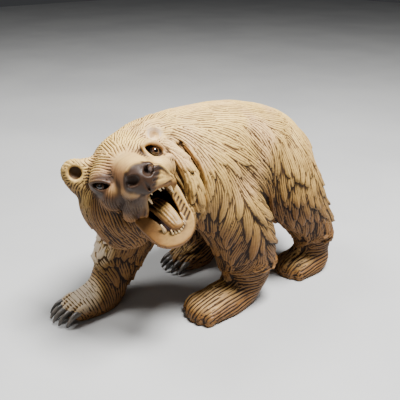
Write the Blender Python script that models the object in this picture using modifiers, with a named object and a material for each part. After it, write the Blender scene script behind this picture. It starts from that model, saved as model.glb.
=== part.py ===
"""A carved wooden bear, walking and roaring, with two glass eyes set in its head.

The bear is one block of wood: body, legs, claws, teeth and tongue are carved as one.
It faces -Y, its left side is +X and its soles are at Z = 0. Its head is turned to its left.
Masses are laid up as clay would be, melted into one skin, cut, and given a coat of carved locks.
Sizes are in millimetres, and MM turns them into metres in one place.
"""

import math
from dataclasses import dataclass, replace

import bmesh
import bpy
import numpy as np
from mathutils import Euler, Matrix, Vector
from mathutils.kdtree import KDTree

MM = 0.001

# The skin: how fine each part of it is melted, and how many rounds of smoothing its joins get
BODY_VOXEL, BODY_ROUNDING = 3.0, 20
HEAD_VOXEL, HEAD_ROUNDING = 2.0, 6
HOLLOW_ROUNDING = 2
SKIN_VOXEL, SKIN_ROUNDING = 2.0, 1

# Faceting: the facets to keep, and how readily the face and the paws give theirs up (the trunk is 1)
FACETS = 8400
FACE_WEIGHT, FACE_FRONT, FACE_REACH = 0.02, -38, 165
PAW_WEIGHT, PAW_HEIGHT = 0.75, 35
WEIGHT_PULL = 0.03

# The head's place. In its own frame it faces -Y with its left at +X
HEAD_CENTRE = (-2, -147, 215)
HEAD_TURN, HEAD_LIFT, HEAD_TILT = 66.0, 20.0, -27.0
HEAD_SCALE = 0.972

# Glass eyes, ears, jaw and teeth, in the head's frame. Side -1 is the bear's right, 1 its left
SIDES = (-1, 1)
EYE_CENTRE = (37.0, -48.5, -1.0)
EYE_RADIUS = 6.6
EYE_GAP = 0.3
EYE_SEGMENTS = 16
EAR_CENTRES = {-1: (-51, 26), 1: (55, 15)}
EAR_RADIUS = 18
JAW_BREADTH = 1.2
LOWER_TEETH, LOWER_TOOTH_PITCH = 6, 5.4
UPPER_TEETH, UPPER_TOOTH_STEP = 7, 20

# The coat: its draw of roots, how close they stand by lock length and width, and its flattest lock
COAT_SEED = 7
COAT_TRIES = 9000
ROOT_SPACING, ROW_SPACING = 0.5, 0.8
LEAST_LIFT = 0.4

# Colours
WOOD = (0.36, 0.21, 0.11)
GLASS = (0.02, 0.015, 0.01)

# Paws: the middle of each on the ground, x and y, then half its width and half its length
FRONT_LEFT = (62, -34, 28, 50)
FRONT_RIGHT = (-53, -172, 24, 42)
HIND_LEFT = (62, 136, 28, 40)
HIND_RIGHT = (-64, 18, 25, 36)


# ---------------------------------------------------------------- scene and mesh helpers


def clear_scene():
    """Remove every object of the startup scene."""
    for obj in list(bpy.data.objects):
        bpy.data.objects.remove(obj, do_unlink=True)


def collection(name):
    """A new collection, linked to the scene."""
    made = bpy.data.collections.new(name)
    bpy.context.scene.collection.children.link(made)
    return made


def material(name, colour, roughness, metallic=0.0):
    """A Principled material with one colour."""
    made = bpy.data.materials.new(name)
    made.use_nodes = True
    shader = made.node_tree.nodes["Principled BSDF"]
    shader.inputs["Base Color"].default_value = (*colour, 1.0)
    shader.inputs["Roughness"].default_value = roughness
    shader.inputs["Metallic"].default_value = metallic
    return made


def taken(obj, name):
    """The object with its modifiers applied, as a new mesh in world space. The old one is removed."""
    graph = bpy.context.evaluated_depsgraph_get()
    mesh = bpy.data.meshes.new_from_object(obj.evaluated_get(graph))
    mesh.transform(obj.matrix_world)
    bpy.data.objects.remove(obj, do_unlink=True)
    made = bpy.data.objects.new(name, mesh)
    bpy.context.scene.collection.objects.link(made)
    return made


def joined(name, pieces):
    """One mesh object that holds all the pieces, still overlapping."""
    bm = bmesh.new()
    for piece in pieces:
        bm.from_mesh(piece.data)
        bpy.data.objects.remove(piece, do_unlink=True)
    mesh = bpy.data.meshes.new(name)
    bm.to_mesh(mesh)
    bm.free()
    made = bpy.data.objects.new(name, mesh)
    bpy.context.scene.collection.objects.link(made)
    return made


def fused(name, pieces, voxel, smoothing):
    """The pieces melted into one closed skin, with their joins rounded over."""
    clay = joined(name, pieces)
    remesh = clay.modifiers.new("Melt", "REMESH")
    remesh.mode = "VOXEL"
    remesh.voxel_size = voxel * MM
    if smoothing:
        smooth = clay.modifiers.new("Round", "SMOOTH")
        smooth.factor = 0.5
        smooth.iterations = smoothing
    bpy.context.view_layer.update()
    return taken(clay, name)


def mass(centre, radii, turn=(0, 0, 0), place=None):
    """An ellipsoid of clay. The turn is in degrees about X, Y and Z."""
    bpy.ops.mesh.primitive_uv_sphere_add(segments=32, ring_count=16, radius=1)
    ball = bpy.context.object
    scale = Matrix.Diagonal((*[r * MM for r in radii], 1))
    rotation = Euler([math.radians(t) for t in turn]).to_matrix().to_4x4()
    spot = Matrix.Translation(Vector(centre) * MM)
    ball.data.transform((place or Matrix()) @ spot @ rotation @ scale)
    return ball


def limb(joints, place=None):
    """A round tube through the joints, each (x, y, z, radius), with flat capped ends."""
    curve = bpy.data.curves.new("limb", "CURVE")
    curve.dimensions = "3D"
    curve.bevel_depth = MM
    curve.bevel_resolution = 6
    curve.resolution_u = 8
    curve.use_fill_caps = True
    spline = curve.splines.new("BEZIER")
    spline.bezier_points.add(len(joints) - 1)
    for point, (x, y, z, radius) in zip(spline.bezier_points, joints):
        point.co = Vector((x, y, z)) * MM
        point.radius = radius
        point.handle_left_type = point.handle_right_type = "AUTO"
    obj = bpy.data.objects.new("limb", curve)
    bpy.context.scene.collection.objects.link(obj)
    bpy.context.view_layer.update()
    tube = taken(obj, "limb")
    bm = bmesh.new()
    bm.from_mesh(tube.data)
    bmesh.ops.remove_doubles(bm, verts=bm.verts, dist=0.00001)
    bmesh.ops.recalc_face_normals(bm, faces=bm.faces)
    bm.to_mesh(tube.data)
    bm.free()
    tube.data.transform(place or Matrix())
    return tube


def cut(body, cutters, name):
    """The body less the cutters, which are melted into one tool first."""
    tool = joined("tool", cutters)
    tool.hide_render = True
    tool.display_type = "WIRE"
    knife = body.modifiers.new("Cut", "BOOLEAN")
    knife.operation = "DIFFERENCE"
    knife.solver = "EXACT"
    knife.use_self = True
    knife.object = tool
    bpy.context.view_layer.update()
    made = taken(body, name)
    bpy.data.objects.remove(tool, do_unlink=True)
    return made


# ---------------------------------------------------------------- body and legs


def trunk_clay():
    """The barrel of the body, from the rump to the shoulders, and the neck."""
    barrel = [
        (0, 160, 158, 34),
        (0, 136, 170, 58),
        (0, 90, 182, 72),
        (0, 30, 192, 77),
        (0, -20, 194, 78),
        (0, -60, 194, 76),
        (0, -96, 188, 62),
        (-4, -122, 184, 50),
    ]
    hump = mass((0, -56, 218), (56, 66, 50))
    rump = mass((0, 92, 200), (60, 62, 54))
    neck = limb([(0, -60, 208, 60), (-18, -88, 211, 53), (-20, -108, 211, 47), (-10, -128, 208, 43)])
    throat = mass((-4, -118, 176), (52, 44, 50))
    return [limb(barrel), hump, rump, neck, throat]


def leg_clay():
    """The four legs in their walking step. Each is a tube through (x, y, z, radius)."""
    front_left = [
        (36, -46, 190, 40),
        (54, -26, 150, 45),
        (62, -4, 108, 42),
        (64, 5, 76, 38),
        (64, 8, 46, 33),
        (63, 0, 22, 27),
    ]
    front_right = [
        (-30, -84, 180, 40),
        (-48, -92, 140, 44),
        (-55, -104, 100, 38),
        (-59, -122, 66, 31),
        (-58, -138, 40, 27),
        (-55, -154, 20, 24),
    ]
    hind_left = [
        (34, 84, 180, 44),
        (50, 98, 142, 50),
        (58, 114, 108, 43),
        (64, 134, 76, 34),
        (65, 148, 44, 29),
        (64, 148, 22, 26),
    ]
    hind_right = [
        (-34, 74, 180, 44),
        (-50, 68, 142, 48),
        (-57, 46, 106, 42),
        (-62, 34, 76, 34),
        (-64, 32, 44, 28),
        (-64, 26, 22, 25),
    ]
    shoulders = [
        mass((36, -46, 184), (50, 54, 66)),
        mass((-34, -82, 178), (50, 50, 66)),
    ]
    hips = [
        mass((36, 92, 170), (52, 60, 66)),
        mass((-36, 76, 170), (50, 58, 66)),
    ]
    legs = [limb(joints) for joints in (front_left, front_right, hind_left, hind_right)]
    return legs + shoulders + hips


def paw_clay(paw, claws):
    """A paw with five toes, pointing to -Y. Claws are long and curved, or blunt stubs."""
    x, y, half_width, half_length = paw
    pieces = [
        mass((x, y + 6, 14), (half_width, half_length, 23)),
        mass((x, y - 6, 10), (half_width + 1, half_length - 4, 18)),
    ]
    for step in (-2, -1, 0, 1, 2):
        across = 0.4 * half_width * step
        front = y - half_length + 2 * step * step
        pieces.append(mass((x + across, front + 10, 13), (0.27 * half_width, 16, 12)))
        if claws:
            claw = [
                (x + across, front + 4, 17, 5.0),
                (x + 1.05 * across, front - 6, 16, 4.6),
                (x + 1.1 * across, front - 13, 10, 3.4),
                (x + 1.1 * across, front - 17, 2, 1.8),
            ]
            pieces.append(limb(claw))
        else:
            pieces.append(mass((x + across, front - 2, 7), (0.2 * half_width, 7, 9)))
    return pieces


# ---------------------------------------------------------------- head


def head_place():
    """The head's own frame, turned, lifted and tilted to its place on the neck."""
    turn = Matrix.Rotation(math.radians(HEAD_TURN), 4, "Z")
    lift = Matrix.Rotation(math.radians(-HEAD_LIFT), 4, "X")
    tilt = Matrix.Rotation(math.radians(HEAD_TILT), 4, "Y")
    return Matrix.Translation(Vector(HEAD_CENTRE) * MM) @ turn @ lift @ tilt @ Matrix.Scale(HEAD_SCALE, 4)


def skull_clay(place):
    """Cranium, brow, muzzle, nose, cheeks and lips."""
    pieces = [
        mass((9, 10, 0), (46, 48, 40), place=place),
        mass((0, -22, 3), (43, 32, 27), place=place),
        limb([(0, -30, -15, 34), (0, -58, -16, 28), (0, -84, -17, 20), (0, -92, -16, 17)], place),
        mass((0, -92, -14), (17, 12, 15), place=place),
    ]
    for side in SIDES:
        pieces += [
            mass((side * 13, -72, -25), (19, 28, 14), place=place),
            mass((side * 30, -38, -18), (22, 30, 20), place=place),
            mass((side * 34, -38, 6), (14, 14, 9), turn=(0, side * 24, 0), place=place),
            mass((side * 44, 4, -30), (26, 36, 38), place=place),
            mass((side * 30, 10, -62), (34, 36, 34), place=place),
        ]
    return pieces


def ear_clay(place):
    """Round ears, upright on the sides of the head and open to the front, each on a thick root."""
    pieces = []
    for side, (across, height) in EAR_CENTRES.items():
        radii = (EAR_RADIUS, 10, EAR_RADIUS)
        pieces.append(mass((across, -2, height), radii, turn=(8, 0, side * 20), place=place))
        pieces.append(mass((across - side * 14, 6, height - 12), (18, 13, 18), place=place))
    return pieces


def jaw_clay(place):
    """The lower jaw, dropped wide open, with the cheeks that stretch to it."""
    wide = place @ Matrix.Diagonal((JAW_BREADTH, 1, 1, 1))
    pieces = [
        limb([(3, 2, -46, 33), (5, -20, -64, 30), (6, -42, -85, 25), (6, -50, -92, 20)], wide),
        mass((6, -52, -92), (19, 17, 17), place=wide),
    ]
    for side in SIDES:
        pieces.append(limb([(side * 33, -16, -34, 13), (side * 34, -22, -56, 12)], place))
    return pieces


def hollow_clay(place):
    """What is carved away: the gape, the trough of the lower jaw, nostrils, ear cups and eye slots."""
    wide = place @ Matrix.Diagonal((JAW_BREADTH, 1, 1, 1))
    pieces = [
        limb([(3, -10, -48, 12), (4, -40, -56, 20), (5, -66, -66, 26), (6, -100, -86, 38)], wide),
        mass((4, -60, -48), (19, 26, 12), place=place),
        limb([(4, -24, -58, 15), (6, -46, -78, 18), (6, -58, -88, 14), (6, -74, -98, 8)], wide),
    ]
    eye_x, eye_y, eye_z = EYE_CENTRE
    for side in SIDES:
        nostril = mass((side * 9.5, -104, -9), (5.5, 10, 5), turn=(0, side * 20, 0), place=place)
        across, height = EAR_CENTRES[side]
        cup = mass((across + side, -10, height), (9, 7, 9), turn=(0, 0, side * 20), place=place)
        slot = mass((side * eye_x, eye_y - 7, eye_z), (10, 9, 7), turn=(0, side * 28, 0), place=place)
        pieces += [nostril, cup, slot]
    return pieces


def mouth_clay(place):
    """The tongue and the teeth, which stand in the hollow of the mouth."""
    pieces = [
        mass((4, -34, -60), (14, 18, 9), turn=(44, 0, 0), place=place),
        mass((6, -50, -74), (14, 20, 8), turn=(48, 0, 0), place=place),
        mass((7, -61, -87), (12, 13, 7), turn=(50, 0, 0), place=place),
    ]
    for step in range(LOWER_TEETH):
        across = 7 + LOWER_TOOTH_PITCH * (step - (LOWER_TEETH - 1) / 2)
        pieces.append(limb([(across, -56, -103, 3.4), (across, -67, -95, 1.8)], place))
    for step in range(UPPER_TEETH):
        angle = math.radians(UPPER_TOOTH_STEP * (step - (UPPER_TEETH - 1) / 2))
        across, ahead = 3 + 21 * math.sin(angle), -56 - 28 * math.cos(angle)
        pieces.append(limb([(across, ahead, -31, 4.0), (across, ahead, -41, 1.8)], place))
    for side in SIDES:
        pieces.append(limb([(3 + side * 15, -82, -32, 5.0), (3 + side * 15, -84, -49, 2.0)], place))
        pieces.append(limb([(8 + side * 18, -48, -97, 5.4), (8 + side * 18, -61, -84, 2.2)], place))
    return pieces


def build_head():
    """The head as one skin: clay, less its hollows, with tongue and teeth."""
    place = head_place()
    clay = skull_clay(place) + jaw_clay(place) + ear_clay(place)
    head = fused("head", clay, HEAD_VOXEL, HEAD_ROUNDING)
    hollow = fused("hollow", hollow_clay(place), HEAD_VOXEL, HOLLOW_ROUNDING)
    head = cut(head, [hollow], "head")
    return joined("head", [head] + mouth_clay(place))


# ---------------------------------------------------------------- the carved coat


@dataclass(frozen=True)
class Guide:
    """How the hair lies about one spot: the way it flows, and the length, width and lift of its locks."""

    spot: tuple
    flow: tuple
    length: float
    width: float
    lift: float


def coat_guides():
    """The guides of the whole coat. Those of the trunk are laid on both sides."""
    both = [
        Guide((20, -40, 265), (0.1, 1, 0), 50, 26, 0.0),
        Guide((20, 40, 262), (0.1, 1, -0.1), 50, 26, 0.0),
        Guide((20, 110, 245), (0.1, 1, -0.5), 50, 26, 0.5),
        Guide((20, 165, 190), (0, 0.3, -1), 50, 26, 2.5),
        Guide((55, -60, 245), (0.3, 0.9, -0.4), 55, 26, 1.5),
        Guide((62, 10, 238), (0.3, 0.8, -0.5), 55, 26, 2.0),
        Guide((60, 90, 230), (0.3, 0.6, -0.8), 55, 26, 2.5),
        Guide((80, -85, 195), (0, 0.15, -1), 60, 28, 5.0),
        Guide((84, -35, 190), (0, 0.5, -0.85), 60, 26, 5.0),
        Guide((80, 20, 185), (0, 0.65, -0.75), 62, 26, 5.0),
        Guide((84, 80, 180), (0, 0.25, -1), 58, 24, 5.5),
        Guide((75, 130, 170), (-0.2, 0.25, -1), 58, 24, 5.0),
        Guide((40, 165, 140), (-0.2, 0.2, -1), 50, 24, 4.0),
        Guide((50, 20, 122), (-0.5, 0.5, -0.4), 45, 26, 1.0),
        Guide((0, 20, 114), (0, 1, 0), 45, 26, 0.0),
        Guide((40, -150, 160), (-0.2, 0, -1), 45, 24, 4.0),
        Guide((-10, -110, 130), (0, 0.3, -1), 45, 24, 2.0),
    ]
    legs = []
    for x, y, rear, side in ((62, 8, 34, 1), (-60, -118, 26, -1), (63, 132, 30, 1), (-62, 34, 28, -1)):
        legs += [
            Guide((x + side * 34, y, 120), (0, 0.1, -1), 48, 22, 4.5),
            Guide((x, y + rear, 100), (0, 0.7, -0.7), 40, 18, 4.5),
            Guide((x, y - rear - 8, 105), (0, -0.3, -1), 40, 22, 4.0),
            Guide((x, y, 45), (0, -0.4, -0.9), 35, 22, 0.0),
            Guide((x, y - 40, 20), (0, -1, -0.2), 35, 22, 0.0),
        ]
    head = [
        Guide((0, 0, 46), (0, 1, 0.2), 35, 18, 0.0),
        Guide((0, -50, 8), (0, 1, 0), 35, 18, 0.0),
        Guide((0, -90, -15), (0, 1, 0), 35, 18, 0.0),
        Guide((0, -60, -95), (0, 1, 0), 35, 18, 0.0),
        Guide((55, -2, 20), (0, 1, 0), 35, 18, 0.0),
        Guide((-55, -2, 20), (0, 1, 0), 35, 18, 0.0),
        Guide((60, 0, -30), (0.1, 0.6, -0.8), 40, 18, 3.5),
        Guide((-60, 0, -30), (-0.1, 0.6, -0.8), 40, 18, 3.5),
        Guide((50, 0, -80), (0, 0.5, -0.9), 40, 18, 4.0),
        Guide((-50, 0, -80), (0, 0.5, -0.9), 40, 18, 4.0),
    ]
    place = head_place()
    turned = []
    for guide in head:
        spot = (place @ (Vector(guide.spot) * MM)) / MM
        flow = place.to_3x3() @ Vector(guide.flow)
        turned.append(replace(guide, spot=tuple(spot), flow=tuple(flow)))
    mirrored = [replace(g, spot=(-g.spot[0], *g.spot[1:]), flow=(-g.flow[0], *g.flow[1:])) for g in both]
    return both + mirrored + legs + turned


class Coat:
    """Locks laid over a skin like shingles: each rises from its root to a free, pointed tip."""

    STEPS = 9
    REACH = 26.0

    def __init__(self, obj, guides, seed):
        mesh = obj.data
        count = len(mesh.vertices)
        flat = np.empty(count * 3)
        mesh.vertices.foreach_get("co", flat)
        self.points = flat.reshape(-1, 3) / MM
        mesh.vertices.foreach_get("normal", flat)
        self.normals = flat.reshape(-1, 3).copy()
        self.mesh = mesh
        self.chance = np.random.default_rng(seed)
        self.tree = KDTree(count)
        for index, point in enumerate(self.points):
            self.tree.insert(point, index)
        self.tree.balance()
        self.spots = np.array([g.spot for g in guides])
        self.flows = np.array([Vector(g.flow).normalized() for g in guides])
        self.sizes = np.array([(g.length, g.width, g.lift) for g in guides])

    def lie(self, point, normal):
        """The way a lock lies at a point of the skin, with its length, width and lift."""
        far = ((self.spots - point) ** 2).sum(1)
        share = np.exp((far.min() - far) / (2 * self.REACH**2))
        share /= share.sum()
        flow = share @ self.flows
        flow = flow - normal * (flow @ normal)
        size = math.sqrt(flow @ flow)
        return flow / max(size, 1e-6), share @ self.sizes

    def roots(self):
        """Where locks are rooted: spaced by their own size, closer across than along."""
        found = []
        spots = np.empty((0, 3))
        for index in self.chance.permutation(len(self.points))[:COAT_TRIES]:
            point, normal = self.points[index], self.normals[index]
            way, (length, width, lift) = self.lie(point, normal)
            if lift < LEAST_LIFT:
                continue
            off = spots - point
            along = off @ way
            across = np.sqrt(np.maximum((off**2).sum(1) - along**2, 0))
            gaps = (along / (ROOT_SPACING * length)) ** 2 + (across / (ROW_SPACING * width)) ** 2
            if len(found) and gaps.min() < 1:
                continue
            found.append((point, normal, length, width, lift))
            spots = np.vstack([spots, point])
        return found

    def lay(self):
        """Raise the skin by the highest lock over each of its points."""
        height = np.zeros(len(self.points))
        for point, normal, length, width, lift in self.roots():
            step = length / self.STEPS
            for k in range(self.STEPS):
                way, _ = self.lie(point, normal)
                across = np.cross(normal, way)
                near = [index for _, index, _ in self.tree.find_range(point, 0.6 * width)]
                off = self.points[near] - point
                along = off @ way
                share = np.clip((k + along / step) / self.STEPS, 0, 1)
                half = 0.5 * width * (0.6 + 0.4 * np.minimum(1, share / 0.3)) * (1 - share**2.4) ** 0.8 + 0.01
                side = (off @ across) / half
                rise = lift * (0.1 + 0.9 * share) * (1 - np.minimum(1, side**2)) ** 0.6
                rise[np.abs(along) > 0.6 * step] = 0
                np.maximum.at(height, near, rise)
                point = point + way * step
                _, index, _ = self.tree.find(point)
                point, normal = self.points[index], self.normals[index]
        raised = (self.points + self.normals * height[:, None]) * MM
        self.mesh.vertices.foreach_set("co", raised.ravel())
        self.mesh.update()


# ---------------------------------------------------------------- faceting and fitting


def faceted(bear, place):
    """The skin thinned to facets. Face and paws keep more of them than the trunk."""
    share = bear.vertex_groups.new(name="share")
    face_frame = place.inverted()
    for vertex in bear.data.vertices:
        spot = (face_frame @ vertex.co) / MM
        if spot.y < FACE_FRONT and spot.length < FACE_REACH:
            weight = FACE_WEIGHT
        elif vertex.co.z < PAW_HEIGHT * MM:
            weight = PAW_WEIGHT
        else:
            weight = 1.0
        share.add([vertex.index], weight, "REPLACE")
    thin = bear.modifiers.new("Facets", "DECIMATE")
    thin.ratio = FACETS / (2 * len(bear.data.polygons))
    thin.use_collapse_triangulate = True
    thin.vertex_group = share.name
    thin.vertex_group_factor = WEIGHT_PULL
    bpy.context.view_layer.update()
    return taken(bear, "bear")


def stood_flat(bear):
    """Cut the soles level at Z = 0 and close them."""
    bm = bmesh.new()
    bm.from_mesh(bear.data)
    bmesh.ops.bisect_plane(
        bm,
        geom=bm.verts[:] + bm.edges[:] + bm.faces[:],
        dist=0.000001,
        plane_co=(0, 0, 0),
        plane_no=(0, 0, -1),
        clear_outer=True,
    )
    rim = [edge for edge in bm.edges if edge.is_boundary]
    soles = bmesh.ops.contextual_create(bm, geom=rim)["faces"]
    bmesh.ops.triangulate(bm, faces=soles)
    bmesh.ops.recalc_face_normals(bm, faces=bm.faces)
    bm.to_mesh(bear.data)
    bm.free()


def eye_ball(name, side, place, radius):
    """One round eye at its place in the head."""
    x, y, z = EYE_CENTRE
    bpy.ops.mesh.primitive_uv_sphere_add(
        segments=EYE_SEGMENTS, ring_count=EYE_SEGMENTS // 2, radius=radius * MM
    )
    ball = bpy.context.object
    ball.name = name
    ball.data.transform(Matrix.Translation(place @ (Vector((side * x, y, z)) * MM)))
    return ball


def settled(objects):
    """Move the finished meshes so that the middle of their common underside is the origin."""
    corners = [vertex.co for obj in objects for vertex in obj.data.vertices]
    low = Vector([min(corner[axis] for corner in corners) for axis in range(3)])
    high = Vector([max(corner[axis] for corner in corners) for axis in range(3)])
    shift = Matrix.Translation(Vector((-(low.x + high.x) / 2, -(low.y + high.y) / 2, -low.z)))
    for obj in objects:
        obj.data.transform(shift)


def main():
    """Build the bear and its eyes."""
    clear_scene()
    part = collection("bear_statue")
    place = head_place()
    paws = (
        paw_clay(FRONT_LEFT, False)
        + paw_clay(FRONT_RIGHT, True)
        + paw_clay(HIND_LEFT, False)
        + paw_clay(HIND_RIGHT, True)
    )
    body = fused("body", trunk_clay() + leg_clay(), BODY_VOXEL, BODY_ROUNDING)
    bear = fused("bear", [body, build_head()] + paws, SKIN_VOXEL, SKIN_ROUNDING)
    Coat(bear, coat_guides(), COAT_SEED).lay()
    bear = faceted(bear, place)
    stood_flat(bear)
    sockets = [eye_ball("socket", side, place, EYE_RADIUS + EYE_GAP) for side in SIDES]
    bear = cut(bear, sockets, "bear")
    eyes = [eye_ball(name, side, place, EYE_RADIUS) for name, side in (("eye_right", -1), ("eye_left", 1))]
    settled([bear] + eyes)
    bear.data.materials.clear()
    bear.data.materials.append(material("carved wood", WOOD, 0.6))
    for eye in eyes:
        eye.data.materials.append(material("eye glass", GLASS, 0.05))
        eye.data.shade_smooth()
    for obj in [bear] + eyes:
        for home in list(obj.users_collection):
            home.objects.unlink(obj)
        part.objects.link(obj)


main()
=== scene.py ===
"""Looks of the carved bear: the finely carved block of wood, its two glass eyes, and a plain studio.

The bear is sculpted as one solid of clay, measured as distances to its surface on a fine grid. The
grid's skin is then carved: locks are laid over it like shingles, gouge cuts run along the lie of the
coat, and the stain gathers in the cuts. Sizes are in millimetres in the carver's own frame, where the
bear faces -Y, its left side is +X and its soles are at Z = 0. MM turns them into metres in one place.
"""

import logging
import math
from collections.abc import Callable, Sequence
from dataclasses import dataclass, field, replace
from enum import Enum

import bmesh
import bpy
import numpy as np
from mathutils import Euler, Matrix, Vector
from mathutils.kdtree import KDTree

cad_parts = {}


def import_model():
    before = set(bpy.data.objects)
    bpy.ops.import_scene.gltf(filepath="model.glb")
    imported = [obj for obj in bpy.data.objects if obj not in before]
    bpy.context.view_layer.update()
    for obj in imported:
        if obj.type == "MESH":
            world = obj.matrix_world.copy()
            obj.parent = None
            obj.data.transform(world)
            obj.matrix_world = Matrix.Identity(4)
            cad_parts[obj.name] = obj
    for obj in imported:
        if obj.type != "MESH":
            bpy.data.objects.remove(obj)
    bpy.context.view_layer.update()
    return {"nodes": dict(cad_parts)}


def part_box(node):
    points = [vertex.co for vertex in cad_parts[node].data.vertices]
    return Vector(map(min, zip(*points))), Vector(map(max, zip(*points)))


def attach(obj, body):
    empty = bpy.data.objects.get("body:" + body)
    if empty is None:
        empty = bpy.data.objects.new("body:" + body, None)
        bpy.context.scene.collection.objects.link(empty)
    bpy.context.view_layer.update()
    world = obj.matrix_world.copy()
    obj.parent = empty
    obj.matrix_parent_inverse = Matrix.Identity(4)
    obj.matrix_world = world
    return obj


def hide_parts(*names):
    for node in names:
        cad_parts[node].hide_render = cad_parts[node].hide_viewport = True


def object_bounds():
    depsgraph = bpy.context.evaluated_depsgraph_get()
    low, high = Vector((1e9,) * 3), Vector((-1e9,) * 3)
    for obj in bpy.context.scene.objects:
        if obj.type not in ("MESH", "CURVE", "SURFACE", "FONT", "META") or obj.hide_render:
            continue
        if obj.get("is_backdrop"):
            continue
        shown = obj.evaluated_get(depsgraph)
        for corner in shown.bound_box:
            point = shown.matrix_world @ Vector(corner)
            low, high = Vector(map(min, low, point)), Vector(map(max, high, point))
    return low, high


MM = 0.001
TINY = 1e-9
LOG = logging.getLogger("bear")

Array = np.ndarray
Material, Object = bpy.types.Material, bpy.types.Object
Socket, Tree = bpy.types.NodeSocket, bpy.types.NodeTree
Point = tuple[float, float, float]
Joint = tuple[float, float, float, float]


class Region(Enum):
    """The finishes that one carved block carries, in the order of its material slots."""

    COAT = 0
    SKIN = 1
    MOUTH = 2
    TOOTH = 3
    CLAW = 4


SIDES = (-1, 1)


# -------- clay, measured as distances


@dataclass(frozen=True)
class Place:
    """A frame of its own inside the carver's frame: a turn, a scale and an origin.

    Attributes:
        origin: Where the frame's own origin lies, in millimetres.
        turns: Turns in degrees about Z, then X, then Y.
        scale: The size of the frame's millimetre.
    """

    origin: Point = (0.0, 0.0, 0.0)
    turns: Point = (0.0, 0.0, 0.0)
    scale: float = 1.0

    def matrix(self) -> Array:
        """The frame's turn as a 3 by 3 matrix, without its scale."""
        about_z, about_x, about_y = (math.radians(turn) for turn in self.turns)
        turn = Matrix.Rotation(about_z, 3, "Z") @ Matrix.Rotation(about_x, 3, "X")
        return np.array(turn @ Matrix.Rotation(about_y, 3, "Y"))

    def inside(self, points: Array) -> Array:
        """Points of the carver's frame, as this frame has them."""
        kind = points.dtype
        return (points - np.array(self.origin, kind)) @ (self.matrix() / self.scale).astype(kind)

    def outside(self, points: Array) -> Array:
        """Points of this frame, as the carver's frame has them."""
        return points @ self.matrix().T * self.scale + np.array(self.origin)

    def along(self, ways: Array) -> Array:
        """Directions of this frame, as the carver's frame has them."""
        return ways @ self.matrix().T


WORLD = Place()


def lengths(rows: Array) -> Array:
    """The length of each row."""
    return np.sqrt(np.einsum("ij,ij->i", rows, rows))


@dataclass(frozen=True)
class Ball:
    """An ellipsoid of clay.

    Attributes:
        centre: Its middle, in its place's frame.
        radii: Its half sizes.
        turn: Turns in degrees about X, Y and Z.
        place: The frame that it lies in.
    """

    centre: Point
    radii: Point
    turn: Point = (0.0, 0.0, 0.0)
    place: Place = WORLD

    def bounds(self) -> tuple[Array, float]:
        """Its middle in the carver's frame, and how far it reaches."""
        middle = self.place.outside(np.array([self.centre]))[0]
        return middle, max(self.radii) * self.place.scale

    def distance(self, points: Array) -> Array:
        """How far each point of the carver's frame is outside it."""
        kind = points.dtype
        turn = np.array(Euler([math.radians(t) for t in self.turn]).to_matrix()) / np.array(self.radii)
        off = (self.place.inside(points) - np.array(self.centre, kind)) @ turn.astype(kind)
        near = lengths(off)
        steep = np.maximum(lengths(off / np.array(self.radii, kind)), TINY)
        return near * (near - 1) / steep * self.place.scale


@dataclass(frozen=True)
class Limb:
    """A rounded rope of clay through joints, each (x, y, z, radius).

    Attributes:
        joints: The joints, joined by a smooth curve.
        place: The frame that they lie in.
        spread: How much wider than high the rope is across its X, 1 for round.
        pieces: How many straight lengths stand for the curve between two joints.
    """

    joints: Sequence[Joint]
    place: Place = WORLD
    spread: float = 1.0
    pieces: int = 4

    def line(self) -> Array:
        """The joints and the points of a smooth curve between them, as rows of x, y, z, radius."""
        knots = np.array([self.joints[0], *self.joints, self.joints[-1]], float)
        rows = []
        for a, b, c, d in zip(knots, knots[1:], knots[2:], knots[3:]):
            for step in range(self.pieces):
                t = step / self.pieces
                bow, swing = (2 * a - 5 * b + 4 * c - d) * t**2, (3 * b - a - 3 * c + d) * t**3
                rows.append(0.5 * (2 * b + (c - a) * t + bow + swing))
        rows.append(knots[-1])
        return np.array(rows)

    def bounds(self) -> tuple[Array, float]:
        """Its middle in the carver's frame, and how far it reaches."""
        line = self.line()
        spots = self.place.outside(line[:, :3])
        middle = (spots.min(0) + spots.max(0)) / 2
        reach = np.sqrt(((spots - middle) ** 2).sum(1)) + line[:, 3] * self.spread * self.place.scale
        return middle, float(reach.max())

    def distance(self, points: Array) -> Array:
        """How far each point of the carver's frame is outside it."""
        kind = points.dtype
        squeeze = (1 / self.spread, 1, 1)
        own = self.place.inside(points) * np.array(squeeze, kind)
        line = (self.line() * np.array([*squeeze, 1])).astype(kind)
        best = np.full(len(own), 1e6, kind)
        for start, end in zip(line, line[1:]):
            way = end[:3] - start[:3]
            off = own - start[:3]
            share = np.clip(off @ way / max(float(way @ way), TINY), 0, 1)
            off -= share[:, None] * way
            best = np.minimum(best, lengths(off) - (start[3] + share * (end[3] - start[3])))
        return best * self.place.scale


@dataclass(frozen=True)
class Slice:
    """The part of a rope that lies on the outer side of a plane.

    Attributes:
        rope: The rope.
        spot: A point of the plane, in the rope's frame.
        facing: The way out of the plane.
    """

    rope: Limb
    spot: Point
    facing: Point

    def bounds(self) -> tuple[Array, float]:
        """Its middle in the carver's frame, and how far it reaches."""
        return self.rope.bounds()

    def distance(self, points: Array) -> Array:
        """How far each point of the carver's frame is outside it."""
        off = self.rope.place.inside(points) - np.array(self.spot)
        facing = np.array(self.facing) / np.linalg.norm(self.facing)
        return np.maximum(self.rope.distance(points), -off @ facing * self.rope.place.scale)


Clay = Ball | Limb | Slice
MOST_GAP = 16.0


def gap(points: Array, pieces: Sequence[Clay]) -> Array:
    """How far each point is outside the nearest of some pieces, but not more than MOST_GAP."""
    found = np.full(len(points), MOST_GAP)
    for piece in pieces:
        middle, reach = piece.bounds()
        close = np.flatnonzero((np.abs(points - middle) < reach + MOST_GAP).all(1))
        if len(close):
            found[close] = np.minimum(found[close], piece.distance(points[close]))
    return found


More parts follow.
